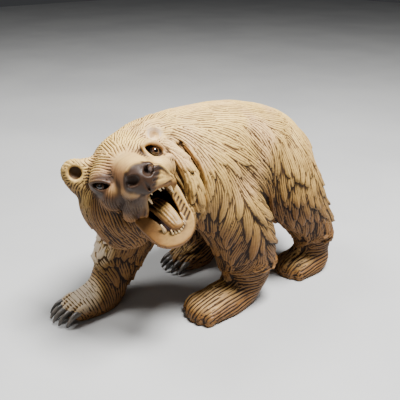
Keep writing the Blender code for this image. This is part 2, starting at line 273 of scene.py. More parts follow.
def beside(points: Array, soft: float, *pieces: Clay) -> Array:
    """1 at points inside some pieces of clay, falling to 0 at the distance soft from them."""
    return np.clip(1 - gap(points, pieces) / soft, 0, 1)


class Block:
    """A solid on a grid of distances to its surface, which clay is added to and carved from.

    Attributes:
        FAR: The distance that the empty grid starts with, in millimetres.
        MARGIN: How far round a piece of clay the grid is worked on, in steps.
        FILLED: How far inside the points lie that seal fills in, in steps.
    """

    FAR = 12.0
    MARGIN = 4
    FILLED = 0.3

    def __init__(self, low: Point, high: Point, pitch: float) -> None:
        """An empty block.

        Args:
            low: Its lowest corner.
            high: Its highest corner.
            pitch: The grid's spacing.
        """
        self.low = np.array(low, float)
        self.pitch = pitch
        self.shape = tuple(int(n) for n in np.ceil((np.array(high) - self.low) / pitch) + 1)
        self.values = np.full(self.shape, self.FAR, np.float32)

    def work(self, clay: Clay, blend: float, carve: bool = False) -> None:
        """Add a piece of clay or carve it away, with a fillet where it meets the rest.

        Args:
            clay: The piece.
            blend: The width of the fillet.
            carve: True to take the piece away.
        """
        middle, reach = clay.bounds()
        reach += blend + self.MARGIN * self.pitch
        first = np.maximum(np.floor((middle - reach - self.low) / self.pitch), 0).astype(int)
        last = np.minimum(np.ceil((middle + reach - self.low) / self.pitch) + 1, self.shape).astype(int)
        if (last <= first).any():
            return
        window = tuple(slice(a, b) for a, b in zip(first, last))
        axes = [self.low[k] + self.pitch * np.arange(first[k], last[k], dtype=np.float32) for k in range(3)]
        points = np.stack(np.meshgrid(*axes, indexing="ij"), -1).reshape(-1, 3)
        fresh = clay.distance(points).astype(np.float32).reshape(self.values[window].shape)
        have = self.values[window]
        overlap = np.maximum(blend - np.abs(have + fresh if carve else have - fresh), 0)
        fillet = overlap**2 / (4 * blend) if blend else 0
        self.values[window] = np.maximum(have, -fresh) + fillet if carve else np.minimum(have, fresh) - fillet

    def add(self, pieces: Sequence[Clay], blend: float) -> None:
        """Add several pieces of clay with one fillet."""
        for piece in pieces:
            self.work(piece, blend)

    def carve(self, pieces: Sequence[Clay], blend: float) -> None:
        """Carve several pieces away with one fillet."""
        for piece in pieces:
            self.work(piece, blend, carve=True)

    def level(self) -> None:
        """Cut everything off below the ground."""
        heights = self.low[2] + self.pitch * np.arange(self.shape[2], dtype=np.float32)
        self.values = np.maximum(self.values, -heights[None, None, :])

    def soften(self, rounds: int) -> None:
        """Even every value out with its neighbours, which rounds all the joins off."""
        for _ in range(rounds):
            for axis in range(3):
                wide = np.moveaxis(self.values, axis, 0)
                even = wide.copy()
                even[1:-1] = 0.5 * wide[1:-1] + 0.25 * (wide[2:] + wide[:-2])
                self.values = np.ascontiguousarray(np.moveaxis(even, 0, axis))

    def finer(self, times: int) -> "Block":
        """The same solid on a finer grid, whose values lie straight between this one's.

        Args:
            times: How many of its steps go into one of this one's.

        Returns:
            A block with the same lowest corner.
        """
        made = Block(self.low, self.low + self.pitch * (np.array(self.shape) - 1), self.pitch / times)
        values = self.values
        for axis in range(3):
            count = (values.shape[axis] - 1) * times + 1
            spot = np.arange(count) / times
            whole = np.minimum(spot.astype(int), values.shape[axis] - 2)
            share = (spot - whole).astype(np.float32).reshape([-1 if k == axis else 1 for k in range(3)])
            values = np.take(values, whole, axis) * (1 - share) + np.take(values, whole + 1, axis) * share
        made.shape, made.values = values.shape, values
        return made

    def quarter(self, axes: tuple[int, int], steps: tuple[int, int]) -> tuple[slice, ...]:
        """The grid without its last layer on an axis whose step is 0, or its first where it is 1."""
        ends = dict(zip(axes, steps))
        layers = (slice(0, -1), slice(1, None))
        return tuple(layers[ends[axis]] if axis in ends else slice(None) for axis in range(3))

    def seal(self, rounds: int = 3) -> None:
        """Fill in wherever two parts of the solid touch along one edge of the grid only."""
        for axes in ((0, 1), (0, 2), (1, 2)) * rounds:
            inside = self.values < 0
            low, high, left, right = (self.quarter(axes, steps) for steps in ((0, 0), (1, 1), (1, 0), (0, 1)))
            along = inside[low] & inside[high] & ~inside[left] & ~inside[right]
            against = inside[left] & inside[right] & ~inside[low] & ~inside[high]
            self.values[left][along] = -self.FILLED * self.pitch
            self.values[low][against] = -self.FILLED * self.pitch

    def skin(self) -> tuple[Array, Array]:
        """The surface of the solid.

        Returns:
            Points, and quads of point numbers that all face outwards.
        """
        inside = self.values < 0
        corners = [(x, y, z) for x in (0, 1) for y in (0, 1) for z in (0, 1)]
        cells = tuple(n - 1 for n in self.shape)
        count = np.zeros(cells, np.uint8)
        for x, y, z in corners:
            count += inside[x : x + cells[0], y : y + cells[1], z : z + cells[2]]
        numbers = np.flatnonzero((count > 0) & (count < len(corners)))
        cell = np.stack(np.unravel_index(numbers, cells), -1)
        value = {c: self.values[tuple((cell + np.array(c)).T)] for c in corners}
        total, crossings = np.zeros((len(cell), 3)), np.zeros(len(cell))
        for start in corners:
            for axis in range(3):
                if start[axis]:
                    continue
                end = tuple(1 if k == axis else start[k] for k in range(3))
                crossed = (value[start] < 0) != (value[end] < 0)
                share = value[start][crossed] / (value[start][crossed] - value[end][crossed])
                spot = np.tile(np.array(start, float), (len(share), 1))
                spot[:, axis] += share
                total[crossed] += spot
                crossings[crossed] += 1
        points = (cell + total / crossings[:, None]) * self.pitch + self.low
        lookup = np.full(cells, -1, np.int32)
        lookup.flat[numbers] = np.arange(len(numbers))
        quads = []
        for axis in range(3):
            one, two = (axis + 1) % 3, (axis + 2) % 3
            lower = tuple(slice(0, -1) if k == axis else slice(1, -1) for k in range(3))
            upper = tuple(slice(1, None) if k == axis else slice(1, -1) for k in range(3))
            changed = np.stack(np.nonzero(inside[lower] != inside[upper]), -1)
            changed[:, one] += 1
            changed[:, two] += 1
            outward = inside[tuple(changed.T)]
            ring = []
            for back_one, back_two in ((1, 1), (0, 1), (0, 0), (1, 0)):
                spot = changed.copy()
                spot[:, one] -= back_one
                spot[:, two] -= back_two
                ring.append(lookup[tuple(spot.T)])
            quad = np.stack(ring, -1)
            quad[~outward] = quad[~outward][:, ::-1]
            quads.append(quad)
        return points, np.concatenate(quads)


def placed(name: str, data: bpy.types.ID | None) -> Object:
    """A new object that holds some data, linked to the scene."""
    made = bpy.data.objects.new(name, data)
    bpy.context.scene.collection.objects.link(made)
    return made


def mesh_object(name: str, points: Array, quads: Array) -> Object:
    """A mesh object from points in millimetres and quads.

    Args:
        name: The object's name.
        points: One row for each point.
        quads: Four point numbers for each face.

    Returns:
        The object.
    """
    mesh = bpy.data.meshes.new(name)
    mesh.from_pydata((points * MM).tolist(), [], quads.tolist())
    return placed(name, mesh)


def evaluated(obj: Object) -> Object:
    """The object with its modifiers applied, as a plain mesh object of the same name."""
    bpy.context.view_layer.update()
    mesh = bpy.data.meshes.new_from_object(obj.evaluated_get(bpy.context.evaluated_depsgraph_get()))
    name = obj.name
    bpy.data.objects.remove(obj, do_unlink=True)
    return placed(name, mesh)


def finder(points: Array) -> KDTree:
    """A tree that finds the nearest of some points."""
    tree = KDTree(len(points))
    for index, point in enumerate(points.tolist()):
        tree.insert(point, index)
    tree.balance()
    return tree


# -------- the bear's clay


@dataclass(frozen=True)
class Trunk:
    """Body, neck, shoulders, hips and legs, before the coat is carved."""

    blend: float = 7.0
    rounds: int = 5

    def clay(self) -> list[Clay]:
        """The masses and ropes of clay, in the order that they are laid up."""
        barrel = Limb(
            (
                (0, 148, 148, 32), (0, 124, 160, 54), (0, 88, 180, 70), (0, 30, 192, 77), (0, -20, 194, 78),
                (0, -60, 194, 76), (0, -96, 188, 62), (-4, -122, 184, 50),
            ),
            pieces=2,
        )  # fmt: skip
        neck = Limb(((0, -60, 208, 60), (-18, -88, 211, 53), (-20, -108, 211, 47), (-10, -128, 208, 43)))
        masses = [
            Ball((0, -56, 218), (56, 66, 50)),
            Ball((0, 82, 200), (60, 58, 52)),
            Ball((-4, -118, 176), (52, 44, 50)),
            Ball((36, -46, 184), (50, 54, 66)),
            Ball((-34, -82, 178), (50, 50, 66)),
            Ball((36, 88, 164), (52, 56, 62)),
            Ball((-36, 76, 166), (50, 56, 62)),
        ]
        return [barrel, neck, *masses, *self.legs()]

    def waists(self) -> list[Clay]:
        """The hollows between the flanks and the thighs, to be carved away."""
        joints = ((62, 14, 250, 6), (79, 18, 220, 7), (84, 28, 196, 7), (80, 42, 168, 6))
        return [Limb(tuple((side * x, y, z, radius) for x, y, z, radius in joints)) for side in SIDES]

    def legs(self) -> list[Clay]:
        """The four legs in their walking step, each from the trunk down."""
        front_left = (
            (36, -46, 190, 40), (54, -26, 150, 45), (62, -4, 108, 42), (64, 5, 76, 38),
            (64, 8, 46, 33), (63, 0, 22, 27),
        )  # fmt: skip
        front_right = (
            (-30, -84, 180, 40), (-48, -92, 140, 44), (-55, -104, 100, 38), (-59, -122, 66, 31),
            (-58, -138, 40, 27), (-55, -154, 20, 24),
        )  # fmt: skip
        hind_left = (
            (34, 84, 180, 44), (50, 98, 142, 47), (61, 118, 108, 36), (67, 140, 76, 28),
            (66, 150, 44, 26), (64, 148, 22, 25),
        )  # fmt: skip
        hind_right = (
            (-34, 74, 180, 44), (-50, 68, 142, 46), (-58, 48, 106, 38), (-63, 38, 76, 30),
            (-64, 34, 44, 26), (-64, 26, 22, 25),
        )  # fmt: skip
        return [Limb(joints, pieces=2) for joints in (front_left, front_right, hind_left, hind_right)]


@dataclass(frozen=True)
class Paw:
    """A paw with five toes that point to -Y.

    Attributes:
        x: The middle of the sole, across.
        y: The middle of the sole, along.
        half_width: Half its breadth.
        half_length: Half its length.
        claws: True for long curved claws, False for blunt toes.
        toes: The places of the toes, counted from the middle one.
    """

    x: float
    y: float
    half_width: float
    half_length: float
    claws: bool
    toes: tuple[int, ...] = (-2, -1, 0, 1, 2)

    def pad(self) -> list[Clay]:
        """The body of the paw."""
        return [
            Ball((self.x, self.y + 6, 14), (self.half_width, self.half_length, 23)),
            Ball((self.x, self.y - 6, 10), (self.half_width + 1, self.half_length - 4, 18)),
        ]

    def fronts(self) -> list[tuple[int, float, float]]:
        """Each toe's step from the middle one, and the x and y of its front."""
        return [
            (step, self.x + 0.4 * self.half_width * step, self.y - self.half_length + 2 * step * step)
            for step in self.toes
        ]

    def toe_clay(self) -> list[Clay]:
        """The toes, as round knuckles."""
        made: list[Clay] = []
        for _, x, front in self.fronts():
            made.append(Ball((x, front + 10, 13), (0.25 * self.half_width, 17, 12)))
            if not self.claws:
                made.append(Ball((x, front - 2, 7), (0.2 * self.half_width, 7, 9)))
        return made

    def claw_roots(self) -> list[tuple[Point, float]]:
        """The root of each claw, and its turn off -Y in degrees."""
        return [((x, front + 2.0, 15.0), 4.0 * step) for step, x, front in self.fronts()]


@dataclass(frozen=True)
class Head:
    """The turned, roaring head. Its own frame faces -Y with its left at +X.

    Attributes:
        ears: The side of each ear, and how far across and how high it stands.
        ruff_edge: The edge of the hair of the left cheek, from the ear to the jaw.
        lip_spot: A point of the flat of the lower lip.
        lip_facing: The way out of that flat.
    """

    place: Place = Place((-2.0, -147.0, 215.0), (66.0, -20.0, -27.0), 0.972)
    blend: float = 11.0
    jaw_spread: float = 1.2
    eye: Point = (37.0, -48.5, -1.0)
    eye_radius: float = 6.6
    eye_gap: float = 0.3
    ears: tuple[tuple[int, float, float], ...] = ((-1, -51.0, 26.0), (1, 55.0, 15.0))
    ear_radius: float = 18.0
    ruff_edge: tuple[Point, ...] = (
        (64.0, -24.0, 0.0), (66.0, -33.0, -13.0), (68.0, -38.0, -32.0), (68.0, -39.0, -50.0),
        (64.0, -38.0, -68.0), (57.0, -31.0, -84.0), (48.0, -23.0, -97.0),
    )  # fmt: skip
    lip_spot: Point = (4.0, -53.0, -81.7)
    lip_facing: Point = (-0.12, -0.888, 0.443)

    def ball(self, centre: Point, radii: Point, turn: Point = (0.0, 0.0, 0.0)) -> Ball:
        """An ellipsoid in the head's frame."""
        return Ball(centre, radii, turn, self.place)

    def limb(self, *joints: Joint, spread: float = 1.0) -> Limb:
        """A rope in the head's frame."""
        return Limb(joints, self.place, spread)

    def skull(self) -> list[Clay]:
        """Cranium, brow, muzzle, cheeks and ears."""
        made: list[Clay] = [
            self.ball((9, 10, 0), (46, 48, 40)),
            self.ball((0, -22, 3), (43, 32, 27)),
            self.limb((2, -30, -15, 33), (2, -56, -13, 25), (1, -80, -13, 18), (0, -90, -14, 16)),
        ]
        for side in SIDES:
            made += [
                self.ball((side * 14, -72, -24), (18, 27, 13) if side > 0 else (11, 24, 10)),
                self.ball((side * 30, -38, -18), (22, 30, 20) if side > 0 else (17, 28, 20)),
                self.ball((side * 34, -38, 6), (14, 14, 9), (0, side * 24, 0)),
                self.ball((side * 44, 4, -30), (26, 36, 38)),
                self.ball((side * 30, 10, -62), (34, 36, 34)),
            ]
        for side, across, height in self.ears:
            made += [
                self.ball((across, -2, height), (self.ear_radius, 10, self.ear_radius), (8, 0, side * 20)),
                self.ball((across - side * 13, 4, height - 11), (20, 13, 20)),
                self.ball((across - side * 2, 2, height - 14), (15, 10, 16)),
            ]
        return made

    def jaw(self) -> list[Clay]:
        """The lower jaw, dropped wide open, with the cheeks that stretch to it."""
        jaw = ((4, 2, -46, 33), (6, -20, -64, 30), (7, -42, -85, 25), (7, -50, -92, 20))
        return [
            self.limb(*jaw, spread=self.jaw_spread),
            self.ball((7, -52, -92), (23, 17, 17)),
            *(self.limb((side * 33, -16, -34, 13), (side * 34, -22, -56, 12)) for side in SIDES),
        ]

    def gape(self) -> list[Clay]:
        """The space between the jaws and the trough of the lower one, to be carved away."""
        space = ((4, -10, -48, 12), (5, -40, -56, 20), (6, -66, -66, 26), (7, -100, -86, 38))
        trough = ((5, -24, -58, 15), (7, -46, -78, 17), (8, -57, -88, 13), (8, -70, -94, 7))
        return [
            self.limb(*space, spread=self.jaw_spread),
            self.ball((4, -60, -48), (19, 26, 12)),
            self.limb(*trough, spread=self.jaw_spread),
        ]

    def rim(self, more: float = 0.0) -> Limb:
        """The pale lip of the lower jaw, a horseshoe, fatter by more."""
        left = ((34, -36, -43, 6.5), (34.5, -41, -55, 6.8), (32.5, -47, -68, 6.8), (30.5, -51, -78, 6.8))
        front = ((28, -57, -89, 7.2), (19, -62, -99, 7.5), (3, -61, -102, 8.0))
        right = ((-9, -53, -91, 9.0), (-14, -45, -77, 9.5), (-18, -38, -64, 8.5))
        return self.limb(*((x, y, z, radius + more) for x, y, z, radius in (*left, *front, *right)))

    def lip_height(self, x: float, z: float) -> float:
        """The y of the flat of the lower lip at some x and z."""
        (at_x, at_y, at_z), (by_x, by_y, by_z) = self.lip_spot, self.lip_facing
        return at_y - (by_x * (x - at_x) + by_z * (z - at_z)) / by_y

    def rim_face(self) -> Slice:
        """What is cut off the lower lip to leave it flat, with crisp edges."""
        return Slice(self.rim(3.0), self.lip_spot, self.lip_facing)

    def rim_cuts(self) -> list[Clay]:
        """The row of small cuts across the left of the lower lip that stand for teeth."""
        made: list[Clay] = []
        for step in range(8):
            z = -49.0 - 5.2 * step
            ends = ((25.0, z - 3.0), (33.0, z + 2.0))
            made.append(self.limb(*((x, self.lip_height(x, height), height, 1.8) for x, height in ends)))
        return made

    def lip(self) -> Limb:
        """The thin edge of the upper lip on the right."""
        front = ((1, -96, -27, 2.2), (-4, -90, -34, 2.4), (-8, -80, -43, 2.4))
        return self.limb(*front, (-9, -68, -51, 2.4), (-12, -54, -59, 2.6))

    def side_wall(self) -> list[Clay]:
        """The loose cheek that closes the right side of the mouth behind that edge."""
        return [
            self.limb((-8, -86, -32, 5), (-12, -75, -40, 6.5), (-13, -62, -47, 7), (-14, -48, -54, 6)),
            self.limb((-18, -72, -34, 8), (-23, -58, -41, 9.5), (-26, -43, -49, 9)),
        ]

    def ruff(self) -> Limb:
        """The edge of the left cheek's hair, which stands over the neck."""
        return self.limb(*((x - 8, y - 1, z, 7.5) for x, y, z in self.ruff_edge))

    def ruff_groove(self) -> Limb:
        """The groove behind that edge."""
        return self.limb(*((x + 5, y + 4, z, 5.0) for x, y, z in self.ruff_edge[1:]))

    def gum(self) -> Limb:
        """The smooth band between the whiskers and the upper teeth."""
        return self.limb(
            (-22, -64, -36, 5), (-14, -78, -33, 5), (-4, -87, -31, 5), (6, -90, -30, 5), (17, -86, -31, 5.5),
            (27, -74, -36, 6), (33, -58, -41, 7), (33, -44, -46, 7),
        )  # fmt: skip

    def tongue(self) -> Limb:
        """The tongue, lying in the trough of the lower jaw."""
        joints = ((7, -25, -57, 7), (9, -42, -64, 7.5), (10.5, -53, -76, 7), (11.5, -60, -88, 5.5))
        return self.limb(*joints, spread=1.45)

    def tongue_grooves(self) -> list[Clay]:
        """Cuts that run along the tongue, drawn together at its tip."""
        middle = ((7, -31, -52, 1.7), (9, -47, -59, 1.7), (10.5, -58, -71, 1.7), (11.5, -64, -84, 1.3))
        shares = (1.0, 1.0, 1.0, 0.7)
        made: list[Clay] = []
        for across in (-6.6, -2.2, 2.2, 6.6):
            drop = 0.05 * across * across
            joints = ((x + share * across, y, z - drop, r) for (x, y, z, r), share in zip(middle, shares))
            made.append(self.limb(*joints))
        return made

    def nose(self) -> list[Clay]:
        """The nose pad."""
        return [
            self.ball((1, -95, -14), (16, 9, 16), (-12, 0, 0)),
            self.ball((1, -91, -4), (14, 9, 8)),
            self.ball((-9, -98, -13), (8, 7, 9)),
            self.ball((12, -97, -10), (9, 8, 9)),
            self.ball((1, -98, -25), (8, 5, 9)),
        ]

    def nostrils(self) -> list[Clay]:
        """Two deep comma-shaped nostrils, and the slot under them."""
        commas = [
            ((side * 9 + 1, -106, -11, 5.6), (side * 12 + 1, -100, -11, 5.8), (side * 19, -93, -8, 3.2))
            for side in SIDES
        ]
        slot = ((0, -108, -14, 1.4), (0, -105, -22, 1.4), (1, -100, -30, 1.4))
        return [self.limb(*joints) for joints in (*commas, slot)]

    def whiskers(self, *first: Joint) -> list[Clay]:
        """Four ropes side by side on the left whisker pad, drawn together at their last joint."""
        moves = ((-3.6, 0.5, -4.4, 0), (-1.5, 0.6, -4.6, 0), (0, 0, -0.8, 0))
        return [
            self.limb(*(tuple(a + step * b for a, b in zip(*pair)) for pair in zip(first, moves)))
            for step in range(4)
        ]

    def whisker_ridges(self) -> list[Clay]:
        """Leaf-like wrinkles on the left whisker pad, which run from the nose to one point."""
        return self.whiskers((18, -100, -13, 2.6), (26, -94, -17, 3.6), (34, -80, -33, 1.6))

    def whisker_cuts(self) -> list[Clay]:
        """The deep cuts between those wrinkles."""
        return self.whiskers((18, -103, -15.4, 2.4), (27, -97, -19.5, 3.2), (34, -82, -34, 1.4))

    def sockets(self) -> list[Clay]:
        """Almond openings for the eyes."""
        x, y, z = self.eye
        return [
            self.ball((-x + 0.5, y - 6, z + 1), (11, 9, 5.5), (0, 34, 0)),
            self.ball((x + 1.5, y - 6, z), (14.5, 11, 8), (0, 50, 0)),
        ]

    def lids(self) -> list[Clay]:
        """Thick lids that arch over and under the eyes."""
        return [
            self.limb((29, -55, 12, 2.4), (38, -54, 11, 3.0), (47, -48, 2, 3.0), (50, -42, -9, 2.4)),
            self.limb((27, -55, 11, 2.0), (28, -57, 0, 2.4), (35, -55, -10, 2.4), (49, -44, -12, 2.0)),
            self.limb((-46, -47, 8, 2.0), (-41, -53, 8, 2.4), (-33, -57, 3, 2.4), (-27, -57, -5, 2.0)),
            self.limb((-46, -47, 7, 1.6), (-43, -52, -3, 2.0), (-36, -56, -9, 2.0), (-27, -57, -6, 1.8)),
        ]

    def eye_beds(self) -> list[Clay]:
        """Round beds for the eyeballs, with a little room all round."""
        x, y, z = self.eye
        radius = self.eye_radius + self.eye_gap
        return [self.ball((side * x, y, z), (radius,) * 3) for side in SIDES]

    def ear_cups(self) -> list[Clay]:
        """The hollows of the ears."""
        return [
            self.ball((across + side, -11 - 6 * (side > 0), height), (8.5, 8, 8.5), (0, 0, side * 20))
            for side, across, height in self.ears
        ]


# -------- the carved coat


@dataclass(frozen=True)
class Lie:
    """How the coat lies along one line drawn on the block.

    Attributes:
        path: Points near the skin, in the order that the hair runs.
        length: The length of a lock, or of a gouge cut where the hair lies flat.
        width: The width of a lock.
        lift: How high the tips of the locks stand, 0 where only gouge cuts show.
        pitch: How far apart the gouge cuts are.
        depth: How deep they go.
        place: The frame that the path lies in.
    """

    path: tuple[Point, ...]
    length: float = 46.0
    width: float = 13.0
    lift: float = 0.0
    pitch: float = 3.4
    depth: float = 1.2
    place: Place = WORLD

    STEP = 10.0

    def samples(self) -> tuple[Array, Array, Array]:
        """Spots along the path, the way that hair runs at each, and its sizes there."""
        knots = self.place.outside(np.array(self.path, float))
        spots, flows = [], []
        for start, end in zip(knots, knots[1:]):
            run = float(np.linalg.norm(end - start))
            count = max(1, round(run / self.STEP))
            for step in range(count + (end is knots[-1])):
                spots.append(start + (end - start) * step / count)
                flows.append((end - start) / run)
        sizes = np.tile((self.length, self.width, self.lift, self.pitch, self.depth), (len(spots), 1))
        return np.array(spots), np.array(flows), sizes

    def over(self, shift: Point = (0.0, 0.0, 0.0)) -> "Lie":
        """The same line on the other side of the bear, moved by shift."""
        path = tuple((-x + shift[0], y + shift[1], z + shift[2]) for x, y, z in self.path)
        return replace(self, path=path)


@dataclass
class Stroke:
    """One lock or cut as it lies: what it covers, and where each covered point is on it.

    Attributes:
        near: The numbers of the points that it covers.
        share: How far along it each point is, from 0 to 1.
        side: How far to the side of its middle line each point is.
        off: How far before or behind the nearest step each point is.
        across: The way to its side.
    """

    near: Array
    share: Array
    side: Array
    off: Array
    across: Array


@dataclass
class Lines:
    """Where each point of the skin lies among the gouge lines.

    Attributes:
        stroke: The number of the stroke that covers each point.
        line: How many lines each point is off the middle of its stroke, and a half.
        across: The way that the count of lines grows at each point, in lines for each millimetre.
        tone: How light the stroke of each point is, from 0 to 1.
    """

    stroke: Array
    line: Array
    across: Array
    tone: Array

    @classmethod
    def none(cls, count: int) -> "Lines":
        """No lines yet on any of the points."""
        return cls(np.zeros(count, int), np.full(count, 0.5), np.zeros((count, 3)), np.full(count, 0.5))

    def cover(self, part: Stroke, won: Array, number: int, pitch: float, tone: float) -> None:
        """Give the points that a stroke has won its own lines.

        Args:
            part: The piece of the stroke.
            won: Which of its points it has won.
            number: The stroke's number.
            pitch: How far apart its lines are.
            tone: How light it is.
        """
        index = part.near[won]
        self.stroke[index] = number
        self.line[index] = part.side[won] / pitch + 0.5
        self.across[index] = part.across / pitch
        self.tone[index] = tone

    def grooves(self) -> Array:
        """How deep each point lies between two ridges, from 0 to 1."""
        return 1 - np.abs(np.sin(math.pi * self.line))

    def corners(self, own: Array, points: Array, nearest: Array, faces: Array) -> Array:
        """The lines carried over to another mesh, where each face belongs to one stroke.

        Args:
            own: The skin's points.
            points: The other mesh's points.
            nearest: The number of the skin's point that is nearest to each.
            faces: Three numbers of the other mesh's points for each face.

        Returns:
            The line and the tone at each corner of each face.
        """
        rows = np.arange(len(faces))
        strokes = self.stroke[nearest[faces]]
        column = np.where(strokes[:, 1] == strokes[:, 2], 1, 0)
        anchor = faces[rows, column]
        same = strokes == strokes[rows, column][:, None]
        base = nearest[np.where(same, faces, anchor[:, None])]
        line = self.line[base] + ((points[faces] - own[base]) * self.across[base]).sum(-1)
        tone = np.broadcast_to(self.tone[nearest[anchor]][:, None], line.shape)
        return np.stack([line, tone], -1).reshape(-1, 2)


class Comb:
    """The skin of the block, with the way that hair lies at each of its points.

    Attributes:
        REACH: How far from its line a lie counts.
        CHUNK: How many cells are worked out at once.
        CELL: The size of a cell, whose points share one lie.
    """

    REACH = 11.0
    CHUNK = 10000
    CELL = 3.0

    def __init__(self, points: Array, normals: Array, lies: Sequence[Lie], seed: int) -> None:
        """Work out the lie of the hair.

        Args:
            points: The skin's points.
            normals: The way out of the skin at each.
            lies: The lines that say how the hair lies.
            seed: The start of the random draws.
        """
        self.points, self.normals = points, normals
        self.chance = np.random.default_rng(seed)
        self.tree = finder(points)
        spots, flows, sizes = (np.concatenate(part) for part in zip(*(lie.samples() for lie in lies)))
        both = np.concatenate([flows, sizes], 1).astype(np.float32)
        cells = np.floor((points - points.min(0)) / self.CELL).astype(np.int64)
        keys = np.ravel_multi_index(tuple(cells.T), tuple(cells.max(0) + 1))
        _, first, cell = np.unique(keys, return_index=True, return_inverse=True)
        mixed = []
        for start in range(0, len(first), self.CHUNK):
            here = points[first[start : start + self.CHUNK]]
            far = (here**2).sum(1)[:, None] + (spots**2).sum(1)[None] - 2 * here @ spots.T
            far -= far.min(1)[:, None]
            share = np.exp(far.astype(np.float32) / (-2 * self.REACH**2))
            mixed.append(share @ both / share.sum(1)[:, None])
        mixed = np.concatenate(mixed).astype(float)[cell]
        ways = mixed[:, :3] - normals * (mixed[:, :3] * normals).sum(1)[:, None]
        self.ways = ways / np.maximum(np.linalg.norm(ways, axis=1), 1e-6)[:, None]
        self.across = np.cross(normals, self.ways)
        self.sizes = mixed[:, 3:]

    def draw(self, least: float, span: float) -> float:
        """A random number, at least least and less than span more."""
        return least + span * self.chance.random()

    def sway(self, span: float) -> float:
        """A random number within half of span either side of 0."""
        return span * (self.chance.random() - 0.5)

    def roots(self, tries: int, along: Array, across: Array, wanted: Array) -> list[int]:
        """Points where strokes start, spaced by their own sizes.

        Args:
            tries: How many points to try.
            along: The least spacing along the hair at each point.
            across: The least spacing across the hair at each point.
            wanted: True where strokes may start.

        Returns:
            Numbers of points.
        """
        choice = self.chance.permutation(np.flatnonzero(wanted))[:tries]
        found: list[int] = []
        spots = np.empty((len(choice), 3))
        for index in choice.tolist():
            off = spots[: len(found)] - self.points[index]
            run = off @ self.ways[index]
            reach = (off * off).sum(1) - run * run
            if len(found) and ((run / along[index]) ** 2 + reach / across[index] ** 2).min() < 1:
                continue
            spots[len(found)] = self.points[index]
            found.append(index)
        return found

    def lay(self, root: int, length: float, reach: float, step: float, bend: float = 0.0) -> list[Stroke]:
        """Follow the hair from a point of the skin.

        Args:
            root: The number of the point.
            length: How far to go.
            reach: How far to the side of the way points are gathered.
            step: How far apart the steps are.
            bend: How far the stroke turns off the hair on its way, in radians.

        Returns:
            One stroke piece for each step.
        """
        steps = max(2, round(length / step))
        step = length / steps
        index, made = root, []
        point = self.points[root]
        for k in range(steps):
            turn = bend * ((k + 0.5) / steps - 0.3)
            swing, hold = math.sin(turn), math.cos(turn)
            way = self.ways[index] * hold + self.across[index] * swing
            across = self.across[index] * hold - self.ways[index] * swing
            found = self.tree.find_range(point, math.hypot(reach, 0.6 * step))
            near = np.array([number for _, number, _ in found], int)
            near = near[self.normals[near] @ self.normals[index] > 0.1]
            if len(near):
                off = self.points[near] - point
                run = off @ way
                made.append(Stroke(near, np.clip((k + run / step) / steps, 0, 1), off @ across, run, across))
            ahead = point + way * step
            _, index, _ = self.tree.find(ahead)
            point = ahead - self.normals[index] * float((ahead - self.points[index]) @ self.normals[index])
        return made


